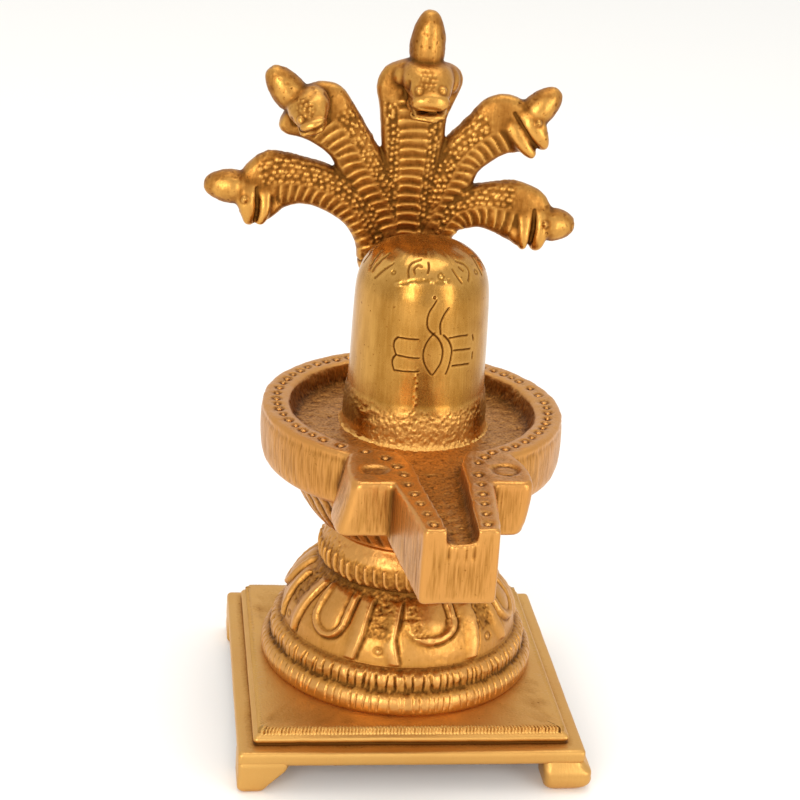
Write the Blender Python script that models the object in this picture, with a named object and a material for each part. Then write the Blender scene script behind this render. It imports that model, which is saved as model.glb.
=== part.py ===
"""A cast brass Shiva lingam on a lotus pedestal, with a five-headed cobra fanned out behind it.

Metres, +Z up, the spout of the yoni dish pointing along -Y. Three castings are modelled: the lotus
pedestal with its square plinth, the yoni dish with the lingam, and the naga. The model is built
around the axis of the lingam and then carried by an empty, so that the middle of its footprint
stands at the world's origin.
"""
import bisect
import math

import bmesh
import bpy
from mathutils import Vector

# fits
SEAM_GAP = 0.0003
OVERSHOOT = 0.002

# plinth
PLATE_WIDTH = 0.0760
PLATE_DEPTH = 0.0742
PLATE_THICKNESS = 0.0032
PLINTH_FORWARD = 0.0029
FOOT_HEIGHT = 0.0066
FOOT_WIDTH = 0.0060
FOOT_BRACKET = 0.0050
FOOT_CHAMFER = 0.0013
BLOCK_FOOT_WIDTH = 0.0090
BLOCK_FOOT_FLARE = 0.0019
SLAB_INSET = 0.0043
SLAB_BACK_INSET = 0.0026
SLAB_HEIGHT = 0.0036
SLAB_STEP = 0.0009
SLAB_STEP_HEIGHT = 0.0011

# lotus pedestal
LOWER_RING_RADIUS = 0.0312
LOWER_RING_HEIGHT = 0.0035
UPPER_RING_RADIUS = 0.0288
UPPER_RING_HEIGHT = 0.0048
DOME_RADIUS = 0.0269
DOME_HEIGHT = 0.0159
NECK_RADIUS = 0.0184
BAND_RADIUS = 0.0192
BAND_HEIGHT = 0.0087
BAND_FLUTES = 46
BAND_FLUTE_DEPTH = 0.0006
WAIST_RADIUS = 0.0163
PETAL_ANGLES = (-45, 11, 68, 130, 192, 253)
PETAL_HALF_ANGLE = math.radians(10.5)
PETAL_LINE_WIDTH = 0.0017
PETAL_LINE_RISE = 0.0011
RIB_ANGLE = math.radians(20.0)
RIB_WIDTH = 0.0013
LINE_ROOT = 0.0009

# yoni dish, its bowl and its spout
BOWL_HEIGHT = 0.0156
BOWL_TOP_RADIUS = 0.0274
BOWL_FLUTE_DEPTH = 0.0007
DISH_RADIUS = 0.0334
DISH_WALL = 0.0061
DISH_HEIGHT = 0.0130
WELL_DEPTH = 0.0044
SPOUT_REACH = 0.0646
SPOUT_ROOT_WIDTH = 0.0212
SPOUT_END_WIDTH = 0.0150
SPOUT_ROOT_DROP = 0.0006
SPOUT_END_DROP = 0.0033
SPOUT_SWING = math.radians(1.9)
LUG_REACH = 0.0430
LUG_SPAN = 0.0394
LUG_HEIGHT = 0.0120
LUG_TAPER = 0.0019
LUG_DENT_RADIUS = 0.0031
LUG_DENT_DEPTH = 0.0006
LUG_DENT_OFFSET = 0.0137
LUG_DENT_REACH = 0.0360
CHANNEL_ROOT_WIDTH = 0.0096
CHANNEL_END_WIDTH = 0.0056
CHANNEL_END_DEPTH = 0.0034

# lingam
LINGAM_FOOT_RADIUS = 0.0154
LINGAM_TOP_RADIUS = 0.0143
LINGAM_HEIGHT = 0.0422
LINGAM_DOME_HEIGHT = 0.0086
COLLAR_RADIUS = 0.0174
COLLAR_HEIGHT = 0.0080

# naga, whose pose is drawn for a height of 88 units from the floor of the dish
NAGA_HEIGHT = 0.0884
NAGA_POSE_HEIGHT = 88.0

# facets
PEDESTAL_SEGMENTS = 2 * BAND_FLUTES
DISH_SEGMENTS = 48
TUBE_SIDES = 10

plate_bottom = FOOT_HEIGHT
plate_top = plate_bottom + PLATE_THICKNESS
slab_top = plate_top + SLAB_HEIGHT
lower_ring_top = slab_top + LOWER_RING_HEIGHT
upper_ring_top = lower_ring_top + UPPER_RING_HEIGHT
dome_top = upper_ring_top + DOME_HEIGHT
band_top = dome_top + BAND_HEIGHT
bowl_bottom = band_top + SEAM_GAP
dish_bottom = bowl_bottom + BOWL_HEIGHT
rim_top = dish_bottom + DISH_HEIGHT
well_floor = rim_top - WELL_DEPTH
lingam_top = well_floor + LINGAM_HEIGHT
plinth_centre_y = -PLINTH_FORWARD


def brass(name, colour, roughness):
    """Cast brass, darker and rougher or lighter and more polished."""
    material = bpy.data.materials.new(name)
    material.use_nodes = True
    shader = material.node_tree.nodes["Principled BSDF"]
    shader.inputs["Base Color"].default_value = (*colour, 1.0)
    shader.inputs["Metallic"].default_value = 1.0
    shader.inputs["Roughness"].default_value = roughness
    return material


def add_object(name, vertices, faces):
    """A mesh object whose faces are turned to point out of the closed body."""
    mesh = bpy.data.meshes.new(name)
    mesh.from_pydata([tuple(v) for v in vertices], [], faces)
    shape = bmesh.new()
    shape.from_mesh(mesh)
    bmesh.ops.recalc_face_normals(shape, faces=shape.faces)
    shape.to_mesh(mesh)
    shape.free()
    body = bpy.data.objects.new(name, mesh)
    bpy.context.scene.collection.objects.link(body)
    return body


def loft(name, rings):
    """A closed body through rings of points, with a flat cap at either end."""
    count = len(rings[0])
    vertices = [point for ring in rings for point in ring]
    faces = []
    for row in range(len(rings) - 1):
        for k in range(count):
            a = row * count + k
            b = row * count + (k + 1) % count
            faces.append((a, b, b + count, a + count))
    faces.append(tuple(range(count)))
    last = (len(rings) - 1) * count
    faces.append(tuple(range(last, last + count)))
    return add_object(name, vertices, faces)


def turned(name, profile, segments, radius_at=None):
    """A body turned round Z from (radius, height) pairs, listed from the bottom up."""
    rings = []
    for radius, height in profile:
        ring = []
        for k in range(segments):
            angle = math.tau * k / segments
            reach = radius_at(radius, height, k) if radius_at else radius
            ring.append((reach * math.cos(angle), reach * math.sin(angle), height))
        rings.append(ring)
    return loft(name, rings)


def prism(name, outline, low, high):
    """A flat outline in X and Y raised from one height to another."""
    return loft(name, [[(x, y, height) for x, y in outline] for height in (low, high)])


def tube(name, path, wide, deep, side):
    """An oval tube along a path; side(tangent) gives the direction of its wide axis."""
    points = [Vector(p) for p in path]
    rings = []
    for i, centre in enumerate(points):
        tangent = (points[min(i + 1, len(points) - 1)] - points[max(i - 1, 0)]).normalized()
        across = side(tangent)
        across = (across - across.dot(tangent) * tangent).normalized()
        through = tangent.cross(across)
        ring = []
        for k in range(TUBE_SIDES):
            angle = math.tau * k / TUBE_SIDES
            ring.append(centre + across * wide[i] * math.cos(angle) + through * deep[i] * math.sin(angle))
        rings.append(ring)
    return loft(name, rings)


def combine(target, tool, operation):
    """Joins the tool to the target, or cuts it away, with an exact boolean."""
    modifier = target.modifiers.new(f"{operation} {tool.name}", "BOOLEAN")
    modifier.operation = operation
    modifier.solver = "EXACT"
    modifier.object = tool
    tool.hide_render = True
    tool.display_type = "WIRE"


def join(target, tool):
    combine(target, tool, "UNION")


def cut(target, tool):
    combine(target, tool, "DIFFERENCE")


def rectangle(half_x, half_y, centre_y=0.0):
    return [(-half_x, centre_y - half_y), (half_x, centre_y - half_y),
            (half_x, centre_y + half_y), (-half_x, centre_y + half_y)]


def along(profile, height):
    """The radius of a (radius, height) profile at one height, in straight steps."""
    heights = [z for _, z in profile]
    i = min(max(bisect.bisect(heights, height), 1), len(profile) - 1)
    (r0, z0), (r1, z1) = profile[i - 1], profile[i]
    share = (height - z0) / (z1 - z0)
    return r0 + (r1 - r0) * share


def dome_profile():
    """The bell of the lotus, from the rings up to the fluted band."""
    shoulder = DOME_RADIUS - NECK_RADIUS
    points = [(DOME_RADIUS, upper_ring_top)]
    for height_share, radius_share in ((0.28, 0.95), (0.56, 0.73), (0.75, 0.46), (0.89, 0.18), (1.0, 0.0)):
        points.append((NECK_RADIUS + shoulder * radius_share, upper_ring_top + DOME_HEIGHT * height_share))
    return points


def surface_line(name, dome, route, width):
    """A raised line on the bell along a route of (angle, height) points."""
    points = []
    for angle, height in route:
        radius = along(dome, height)
        points.append(Vector((radius * math.cos(angle), radius * math.sin(angle), height)))
    rings = []
    for i, point in enumerate(points):
        tangent = (points[min(i + 1, len(points) - 1)] - points[max(i - 1, 0)]).normalized()
        angle, height = route[i]
        step = 0.001
        slope = (along(dome, height + step) - along(dome, height - step)) / (2 * step)
        outward = Vector((math.cos(angle), math.sin(angle), -slope)).normalized()
        across = tangent.cross(outward).normalized()
        low = point - outward * LINE_ROOT
        high = point + outward * PETAL_LINE_RISE
        half = across * width / 2
        rings.append([low - half, low + half, high + half * 0.6, high - half * 0.6])
    return loft(name, rings)


def petal_route(middle):
    """Down one side of a petal, round its tip and up the other side."""
    top = dome_top - 0.0008
    bend = upper_ring_top + 0.46 * DOME_HEIGHT
    drop = 0.0040
    route = [(middle - 0.86 * PETAL_HALF_ANGLE, top), (middle - PETAL_HALF_ANGLE, (top + bend) / 2)]
    for k in range(5):
        turn = math.pi * k / 4
        route.append((middle - PETAL_HALF_ANGLE * math.cos(turn), bend - drop * math.sin(turn)))
    route.append((middle + PETAL_HALF_ANGLE, (top + bend) / 2))
    route.append((middle + 0.86 * PETAL_HALF_ANGLE, top))
    return route


def bracket_foot():
    """A foot in front view, x from the plate's side inward: slanted bracket, chamfered toe."""
    top = plate_top - PLATE_THICKNESS / 3
    return [(0.0, FOOT_CHAMFER), (FOOT_CHAMFER, 0.0), (FOOT_WIDTH, 0.0),
            (FOOT_WIDTH + FOOT_BRACKET, plate_bottom), (FOOT_WIDTH + FOOT_BRACKET, top), (0.0, top)]


def block_foot(corner_x, corner_y):
    """The one foot that was cast as a fuller block, which bulges past two sides of the plate."""
    rings = []
    for height, flare, width in ((0.0, 0.35, 0.66), (0.16 * FOOT_HEIGHT, 0.75, 0.94),
                                 (0.55 * FOOT_HEIGHT, 1.0, 0.97), (plate_bottom, 0.1, 1.0),
                                 (plate_top - PLATE_THICKNESS / 3, 0.0, 1.0)):
        right = corner_x + flare * BLOCK_FOOT_FLARE
        front = corner_y - 0.6 * flare * BLOCK_FOOT_FLARE
        left = corner_x - width * BLOCK_FOOT_WIDTH
        back = corner_y + width * BLOCK_FOOT_WIDTH
        rings.append([(left, front, height), (right, front, height), (right, back, height), (left, back, height)])
    return loft("foot_front_right", rings)


def build_pedestal():
    """Square plinth on four bracket feet, ribbed rings, lotus bell and fluted band."""
    half_x, half_y = PLATE_WIDTH / 2, PLATE_DEPTH / 2
    body = prism("lotus_pedestal", rectangle(half_x, half_y, plinth_centre_y), plate_bottom, plate_top)

    step_top = plate_top + SLAB_STEP_HEIGHT
    slab_rings = []
    for inset, height in ((SLAB_INSET - SLAB_STEP, plate_bottom + PLATE_THICKNESS / 2),
                          (SLAB_INSET - SLAB_STEP, step_top),
                          (SLAB_INSET, step_top + 0.0002),
                          (SLAB_INSET, slab_top - 0.0006),
                          (SLAB_INSET + 0.0006, slab_top)):
        front_shift = (SLAB_INSET - SLAB_BACK_INSET) / 2
        outline = rectangle(half_x - inset, half_y + front_shift - inset, plinth_centre_y + front_shift)
        slab_rings.append([(x, y, height) for x, y in outline])
    join(body, loft("slab", slab_rings))

    front = plinth_centre_y - half_y
    back = plinth_centre_y + half_y
    for name, side, near, inward in (("foot_front_left", 1, front, 1), ("foot_back_left", 1, back, -1),
                                     ("foot_back_right", -1, back, -1)):
        rings = []
        for depth in (0.0, BLOCK_FOOT_WIDTH):
            rings.append([(side * (x - half_x), near + inward * depth, z) for x, z in bracket_foot()])
        join(body, loft(name, rings))
    join(body, block_foot(half_x, front))

    dome = dome_profile()
    ring_1 = LOWER_RING_HEIGHT
    ring_2 = UPPER_RING_HEIGHT
    profile = [(LOWER_RING_RADIUS - 0.0006, plate_top + SLAB_HEIGHT / 2),
               (LOWER_RING_RADIUS, slab_top + 0.45 * ring_1),
               (LOWER_RING_RADIUS - 0.0007, slab_top + 0.8 * ring_1),
               (UPPER_RING_RADIUS - 0.0006, lower_ring_top),
               (UPPER_RING_RADIUS, lower_ring_top + 0.4 * ring_2),
               (UPPER_RING_RADIUS - 0.0010, lower_ring_top + 0.92 * ring_2)]
    profile += dome
    fluted_low = dome_top + 0.14 * BAND_HEIGHT
    fluted_high = dome_top + 0.62 * BAND_HEIGHT
    profile += [(BAND_RADIUS, fluted_low),
                (BAND_RADIUS, dome_top + 0.40 * BAND_HEIGHT),
                (BAND_RADIUS - 0.0005, fluted_high),
                (BAND_RADIUS - 0.0013, dome_top + 0.82 * BAND_HEIGHT),
                (WAIST_RADIUS, band_top)]

    def fluted(radius, height, k):
        in_flutes = fluted_low - 1e-6 < height < fluted_high + 1e-6
        return radius - BAND_FLUTE_DEPTH * (k % 2) if in_flutes else radius

    join(body, turned("lotus_bell", profile, PEDESTAL_SEGMENTS, fluted))

    for k, degrees in enumerate(PETAL_ANGLES):
        middle = math.radians(degrees) - math.pi / 2
        join(body, surface_line(f"petal_{k}", dome, petal_route(middle), PETAL_LINE_WIDTH))
        for side in (-1, 1):
            rib_top = dome_top - 0.0012
            rib_low = upper_ring_top + 0.10 * DOME_HEIGHT
            route = []
            for share in (0.0, 0.35, 0.7, 1.0):
                height = rib_low + (rib_top - rib_low) * share
                route.append((middle + side * RIB_ANGLE * (1.05 - 0.05 * share), height))
            join(body, surface_line(f"rib_{k}_{side}", dome, route, RIB_WIDTH))
    return body


def lingam_profile(clearance=0.0):
    """The lingam from the floor of the dish to its pole, grown outward by a clearance."""
    dome_start = lingam_top - LINGAM_DOME_HEIGHT
    points = [(COLLAR_RADIUS, well_floor),
              (COLLAR_RADIUS - 0.0007, well_floor + 0.16 * COLLAR_HEIGHT),
              (LINGAM_FOOT_RADIUS + 0.0004, well_floor + 0.55 * COLLAR_HEIGHT),
              (LINGAM_FOOT_RADIUS, well_floor + COLLAR_HEIGHT)]
    middle = (well_floor + COLLAR_HEIGHT + dome_start) / 2
    points.append((0.55 * LINGAM_FOOT_RADIUS + 0.45 * LINGAM_TOP_RADIUS, middle))
    for turn in (0, 20, 40, 58, 74, 86):
        angle = math.radians(turn)
        radius = LINGAM_TOP_RADIUS * math.cos(angle) ** 0.85
        points.append((radius, dome_start + LINGAM_DOME_HEIGHT * math.sin(angle)))
    points[-1] = (points[-1][0] * 0.7, lingam_top)
    return [(radius + clearance, height + clearance) for radius, height in points]


def turn_spout(x, y):
    """A plan point turned with the spout, which swings a little to one side."""
    cosine, sine = math.cos(SPOUT_SWING), math.sin(SPOUT_SWING)
    return (x * cosine - y * sine, x * sine + y * cosine)


def build_yoni_lingam():
    """Fluted bowl, round dish with its lugs and spout, and the lingam that rises from it."""
    rim_inner = DISH_RADIUS - DISH_WALL
    bowl_reach = BOWL_TOP_RADIUS - WAIST_RADIUS
    profile = [(WAIST_RADIUS, bowl_bottom)]
    for share in (0.13, 0.28, 0.46, 0.68, 0.88, 1.0):
        radius = WAIST_RADIUS + bowl_reach * math.sin(math.pi / 2 * share) ** 0.85
        profile.append((radius, bowl_bottom + BOWL_HEIGHT * share))
    flutes_end = profile[-2][1]
    profile += [(DISH_RADIUS - 0.0019, dish_bottom),
                (DISH_RADIUS - 0.0007, dish_bottom + 0.08 * DISH_HEIGHT),
                (DISH_RADIUS + 0.0002, dish_bottom + 0.40 * DISH_HEIGHT),
                (DISH_RADIUS + 0.0002, dish_bottom + 0.74 * DISH_HEIGHT),
                (DISH_RADIUS - 0.0002, dish_bottom + 0.82 * DISH_HEIGHT),
                (DISH_RADIUS, dish_bottom + 0.94 * DISH_HEIGHT),
                (DISH_RADIUS - 0.0005, rim_top),
                (rim_inner + 0.0004, rim_top),
                (rim_inner, rim_top - 0.0005),
                (rim_inner - 0.0012, well_floor)]
    profile += lingam_profile()

    def fluted(radius, height, k):
        in_bowl = bowl_bottom + 1e-6 < height < flutes_end + 1e-6
        return radius - BOWL_FLUTE_DEPTH * (k % 2) if in_bowl else radius

    body = turned("yoni_lingam", profile, DISH_SEGMENTS, fluted)

    root, end = SPOUT_ROOT_WIDTH / 2, SPOUT_END_WIDTH / 2
    rings = []
    for half_width, reach, drop in ((root, rim_inner + 0.6 * DISH_WALL, SPOUT_ROOT_DROP),
                                    (root, LUG_REACH - 0.0012, SPOUT_ROOT_DROP),
                                    (end, SPOUT_REACH, SPOUT_END_DROP)):
        low = dish_bottom - drop
        corners = ((-half_width, low), (half_width, low), (half_width, rim_top), (-half_width, rim_top))
        rings.append([(*turn_spout(x, -reach), z) for x, z in corners])
    join(body, loft("spout", rings))

    corner = 0.0010
    back_radius = rim_inner + DISH_WALL / 2
    rings = []
    for depth_share, taper_share in ((1.0, 1.0), (0.72, 0.42), (0.0, 0.0)):
        half = LUG_SPAN / 2 - LUG_TAPER * taper_share
        outline = [(-half, -LUG_REACH + corner), (-half + corner, -LUG_REACH),
                   (half - corner, -LUG_REACH), (half, -LUG_REACH + corner)]
        spread = math.asin(half / back_radius)
        for k in range(9):
            angle = spread - 2 * spread * k / 8
            outline.append((back_radius * math.sin(angle), -back_radius * math.cos(angle)))
        height = rim_top - LUG_HEIGHT * depth_share
        rings.append([(*turn_spout(x, y), height) for x, y in outline])
    join(body, loft("lugs", rings))

    root, end = CHANNEL_ROOT_WIDTH / 2, CHANNEL_END_WIDTH / 2
    mouth_reach = rim_inner - 0.0020
    sill = well_floor + 0.0001
    end_reach = SPOUT_REACH + OVERSHOOT
    rings = []
    for half_width, reach in ((1.9 * root, mouth_reach), (1.35 * root, rim_inner + 0.0018),
                              (1.06 * root, rim_inner + 0.0062), (root, LUG_REACH), (end, end_reach)):
        share = (reach - mouth_reach) / (end_reach - mouth_reach)
        floor = sill + (rim_top - CHANNEL_END_DEPTH - sill) * share
        ring = []
        for x, z in ((-half_width, floor), (half_width, floor),
                     (half_width, rim_top + OVERSHOOT), (-half_width, rim_top + OVERSHOOT)):
            ring.append((*turn_spout(x, -reach), z))
        rings.append(ring)
    cut(body, loft("channel", rings))

    for name, side in (("dent_left", -1), ("dent_right", 1)):
        x, y = turn_spout(side * LUG_DENT_OFFSET, -LUG_DENT_REACH)
        circle = []
        for k in range(14):
            angle = math.tau * k / 14
            circle.append((x + LUG_DENT_RADIUS * math.cos(angle), y + LUG_DENT_RADIUS * math.sin(angle)))
        cut(body, prism(name, circle, rim_top - LUG_DENT_DEPTH, rim_top + OVERSHOOT))
    return body


# Each cobra is drawn in units of 1/88 of the naga's height: x to the right, z up from the floor of
# the dish, y back from the axis of the lingam. A neck is (x, y, z, half width, half depth).
cobras = [
    {"name": "centre",
     "neck": [(-1.6, 19.6, 30.0, 5.4, 3.6), (-1.9, 19.2, 40.0, 4.8, 3.4), (-1.7, 18.2, 49.0, 5.2, 3.2),
              (-1.6, 17.4, 57.0, 6.8, 3.2), (-1.8, 16.9, 63.5, 7.2, 3.1), (-1.3, 16.7, 68.3, 8.3, 3.0),
              (-1.1, 16.5, 71.4, 9.3, 2.9), (-0.8, 16.4, 76.0, 7.6, 2.6), (-0.2, 16.4, 78.2, 4.4, 2.2)],
     "crest": ((0.0, 16.0, 76.4), (0.2, 16.0, 88.0), 4.1),
     "head": ((0.6, 15.0, 73.8), (1.6, 6.2, 68.2), (1, 0, 0), 4.9, 3.7)},
    {"name": "upper_left",
     "neck": [(-5.0, 19.4, 37.0, 5.0, 3.4), (-9.2, 18.6, 47.0, 5.0, 3.2), (-13.2, 17.8, 54.0, 5.4, 3.1),
              (-18.2, 17.2, 61.0, 6.2, 3.1), (-22.2, 16.9, 64.6, 7.0, 3.0), (-26.2, 16.7, 66.2, 6.4, 2.8),
              (-28.8, 16.6, 66.8, 4.6, 2.4)],
     "crest": ((-27.0, 16.0, 67.0), (-33.2, 16.0, 74.8), 3.9),
     "head": ((-26.4, 15.0, 66.4), (-26.6, 6.8, 61.4), (0.78, 0, 0.62), 4.6, 3.4)},
    {"name": "lower_left",
     "neck": [(-4.0, 19.4, 33.0, 5.2, 3.4), (-11.6, 18.6, 41.4, 5.0, 3.2), (-17.6, 17.8, 47.4, 5.4, 3.1),
              (-22.2, 17.2, 49.2, 5.5, 3.0), (-27.0, 16.9, 49.9, 5.9, 3.0), (-31.6, 16.7, 49.3, 6.8, 2.9),
              (-35.6, 16.6, 48.2, 6.8, 2.7), (-38.4, 16.6, 47.6, 4.8, 2.3)],
     "crest": ((-37.8, 16.0, 47.4), (-46.9, 16.0, 48.3), 3.9),
     "head": ((-36.6, 15.6, 48.2), (-35.8, 14.4, 38.8), (0, 1, 0), 3.1, 3.4)},
    {"name": "upper_right",
     "neck": [(2.4, 19.4, 37.0, 5.0, 3.4), (6.2, 18.6, 48.0, 5.0, 3.2), (9.2, 17.8, 54.9, 5.5, 3.1),
              (12.9, 17.2, 60.2, 5.9, 3.1), (16.2, 16.9, 63.2, 6.5, 3.0), (19.7, 16.7, 64.0, 6.6, 2.9),
              (23.0, 16.6, 64.2, 5.0, 2.6)],
     "crest": ((22.4, 16.0, 63.9), (30.0, 16.0, 72.0), 3.8),
     "head": ((21.8, 15.4, 66.0), (26.6, 13.2, 56.6), (0, 1, 0), 3.1, 3.7)},
    {"name": "lower_right",
     "neck": [(1.6, 19.4, 33.0, 5.2, 3.4), (6.4, 18.6, 41.2, 5.0, 3.2), (10.4, 17.8, 44.2, 5.3, 3.1),
              (14.8, 17.2, 45.4, 5.3, 3.0), (19.3, 16.9, 45.2, 5.9, 3.0), (23.4, 16.7, 43.9, 6.7, 2.9),
              (27.0, 16.6, 42.0, 6.2, 2.7), (29.4, 16.6, 41.4, 4.4, 2.3)],
     "crest": ((28.2, 16.0, 41.1), (36.4, 16.0, 41.4), 3.9),
     "head": ((27.2, 15.6, 43.4), (25.7, 14.2, 34.6), (0, 1, 0), 3.1, 3.3)},
]
trunk_path = [(-0.8, 20.6, 0.0), (-0.8, 20.8, 8.0), (-1.0, 20.6, 18.0), (-1.6, 20.2, 27.0),
              (-2.0, 19.8, 34.0), (-2.0, 19.6, 40.0), (-1.8, 19.4, 45.0)]
trunk_half_widths = (6.2, 6.0, 7.2, 9.6, 10.6, 9.4, 6.0)
trunk_half_depths = (4.0, 4.2, 4.2, 4.2, 4.0, 3.6, 3.0)
crest_shape = ((0.0, 0.86), (0.28, 1.0), (0.60, 0.88), (0.86, 0.54), (1.0, 0.14))
head_shape = ((0.0, 0.94), (0.35, 1.0), (0.72, 0.78), (1.0, 0.44))
mouth_length = 0.5
mouth_gap = 0.8


def flat_fan(tangent):
    """The wide axis of a hood: across the neck, in the plane of the fan."""
    return tangent.cross(Vector((0, 1, 0)))


def build_naga(unit):
    """One trunk behind the lingam that parts into five crested cobras."""
    floor = well_floor + SEAM_GAP

    def place(x, y, z):
        return Vector((x * unit, y * unit, floor + z * unit))

    body = tube("naga", [place(*p) for p in trunk_path],
                [w * unit for w in trunk_half_widths], [d * unit for d in trunk_half_depths],
                lambda tangent: Vector((1, 0, 0)))
    for cobra in cobras:
        name = cobra["name"]
        neck = cobra["neck"]
        join(body, tube(f"neck_{name}", [place(x, y, z) for x, y, z, _, _ in neck],
                        [w * unit for _, _, _, w, _ in neck], [d * unit for _, _, _, _, d in neck], flat_fan))

        nape, snout, wide_axis, half_width, half_height = cobra["head"]
        nape, snout, wide_axis = place(*nape), place(*snout), Vector(wide_axis)
        path = [nape.lerp(snout, share) for share, _ in head_shape]
        join(body, tube(f"head_{name}", path, [half_width * unit * size for _, size in head_shape],
                        [half_height * unit * size for _, size in head_shape], lambda tangent: wide_axis))

        base, tip, radius = cobra["crest"]
        base, tip = place(*base), place(*tip)
        path = [base.lerp(tip, share) for share, _ in crest_shape]
        radii = [radius * unit * size for _, size in crest_shape]
        join(body, tube(f"crest_{name}", path, radii, radii, lambda tangent: Vector((0, 1, 0))))

        forward = (snout - nape).normalized()
        across = (wide_axis - wide_axis.dot(forward) * forward).normalized()
        up = forward.cross(across)
        start = nape.lerp(snout, 1.0 - mouth_length)
        finish = snout + forward * OVERSHOOT
        reach = across * (half_width * unit + OVERSHOOT)
        rings = []
        for point, gap in ((start, 0.35 * mouth_gap), (finish, mouth_gap)):
            half = up * gap * unit / 2
            rings.append([point - reach - half, point + reach - half, point + reach + half, point - reach + half])
        cut(body, loft(f"mouth_{name}", rings))

    cut(body, turned("lingam_clearance", [(COLLAR_RADIUS + SEAM_GAP, well_floor - OVERSHOOT)]
                     + lingam_profile(SEAM_GAP), DISH_SEGMENTS))
    cut(body, prism("dish_floor_clearance", rectangle(DISH_RADIUS, DISH_RADIUS), well_floor - OVERSHOOT, floor))
    return body


def centre_on_origin(bodies):
    """Carries the castings by an empty so that the middle of their footprint is at the origin."""
    bpy.context.view_layer.update()
    graph = bpy.context.evaluated_depsgraph_get()
    corners = []
    for body in bodies:
        for vertex in body.evaluated_get(graph).data.vertices:
            corners.append(vertex.co.copy())
    middle_x = (min(c.x for c in corners) + max(c.x for c in corners)) / 2
    middle_y = (min(c.y for c in corners) + max(c.y for c in corners)) / 2
    stand = bpy.data.objects.new("stand", None)
    bpy.context.scene.collection.objects.link(stand)
    for thing in list(bpy.context.scene.objects):
        if thing is not stand:
            thing.parent = stand
    stand.location = (-middle_x, -middle_y, 0.0)
    print(f"axis of the lingam at x {-middle_x:.6f}, y {-middle_y:.6f}")


def main():
    for thing in list(bpy.data.objects):
        bpy.data.objects.remove(thing)
    pedestal = build_pedestal()
    yoni_lingam = build_yoni_lingam()
    naga = build_naga(NAGA_HEIGHT / NAGA_POSE_HEIGHT)
    pedestal.data.materials.append(brass("brushed cast brass", (0.50, 0.28, 0.075), 0.38))
    yoni_lingam.data.materials.append(brass("polished cast brass", (0.60, 0.34, 0.095), 0.28))
    naga.data.materials.append(brass("rough cast brass", (0.46, 0.25, 0.065), 0.45))
    centre_on_origin([pedestal, yoni_lingam, naga])


main()
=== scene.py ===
import math

import bpy
import numpy as np
from mathutils import Matrix, Vector


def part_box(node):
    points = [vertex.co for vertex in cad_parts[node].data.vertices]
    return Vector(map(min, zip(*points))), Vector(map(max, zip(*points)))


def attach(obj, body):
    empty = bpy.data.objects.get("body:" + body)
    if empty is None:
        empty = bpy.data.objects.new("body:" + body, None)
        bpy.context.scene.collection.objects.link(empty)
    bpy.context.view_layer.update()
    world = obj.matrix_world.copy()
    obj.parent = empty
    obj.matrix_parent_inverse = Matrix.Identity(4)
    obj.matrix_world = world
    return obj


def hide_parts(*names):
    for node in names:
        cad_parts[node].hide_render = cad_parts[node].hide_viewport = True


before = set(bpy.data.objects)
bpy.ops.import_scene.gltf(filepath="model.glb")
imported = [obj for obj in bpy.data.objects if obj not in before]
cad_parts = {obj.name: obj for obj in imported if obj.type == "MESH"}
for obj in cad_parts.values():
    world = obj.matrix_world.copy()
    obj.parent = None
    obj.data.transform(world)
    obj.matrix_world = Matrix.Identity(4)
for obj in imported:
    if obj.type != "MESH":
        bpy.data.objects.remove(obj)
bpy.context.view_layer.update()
print("frame loaded")

# Everything below is laid out in millimetres round the lingam's axis, with z = 0 under the feet.
pedestalLow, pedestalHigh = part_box("lotus_pedestal")
axis = np.array([pedestalLow.x * 1000 + 38.0, pedestalHigh.y * 1000 - 34.2, 0.0])


# numbers and noise

def ease(low, high, value):
    t = np.clip((value - low) / (high - low), 0.0, 1.0)
    return t * t * (3 - 2 * t)


def bump(distance, width):
    # 1 in the middle of a ridge, 0 at half its width
    return 1 - ease(0.12, 0.5, np.abs(distance) / width)


def hashed(cell, seed):
    n = cell[..., 0] * 374761393 + cell[..., 1] * 668265263 + cell[..., 2] * 1440662683 + seed * 974711
    n = (n ^ (n >> 13)) * 1274126177
    return ((n ^ (n >> 16)) & 65535) / 65535.0


def grain(points, size, seed):
    # smooth noise from -1 to 1, with lumps about as big as size in mm
    cell = np.asarray(points) / size
    base = np.floor(cell).astype(np.int64)
    part = cell - base
    part = part * part * (3 - 2 * part)
    total = np.zeros(cell.shape[:-1])
    for corner in range(8):
        step = np.array([corner & 1, corner >> 1 & 1, corner >> 2 & 1])
        weight = np.prod(np.where(step, part, 1 - part), axis=-1)
        total += weight * hashed(base + step, seed)
    return total * 2 - 1


def rough(points, size, seed, layers=3):
    total, strength = 0.0, 1.0
    for layer in range(layers):
        total = total + strength * grain(points, size / 2 ** layer, seed + layer)
        strength *= 0.55
    return total


def pits(points, size, seed, share=0.35):
    # 0 over most of the surface, up to 1 in scattered pits
    return ease(1 - 2 * share, 1.0, rough(points, size, seed, 2))


def curveThrough(points, count):
    # a smooth curve through the points, cut into even steps
    p = np.asarray(points, float)
    p = np.vstack([2 * p[0] - p[1], p, 2 * p[-1] - p[-2]])
    t = np.linspace(0, 1, 24, endpoint=False)[:, None]
    run = []
    for a, b, c, d in zip(p, p[1:], p[2:], p[3:]):
        run.append(0.5 * (2 * b + (c - a) * t + (2 * a - 5 * b + 4 * c - d) * t ** 2 + (3 * b - a - 3 * c + d) * t ** 3))
    run = np.vstack(run + [p[-2:-1]])
    return evenSteps(run, count)


def evenSteps(run, count):
    along = np.concatenate([[0], np.cumsum(np.linalg.norm(np.diff(run, axis=0), axis=1))])
    at = np.linspace(0, along[-1], count)
    return np.stack([np.interp(at, along, run[:, k]) for k in range(run.shape[1])], axis=1)


# meshes

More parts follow.
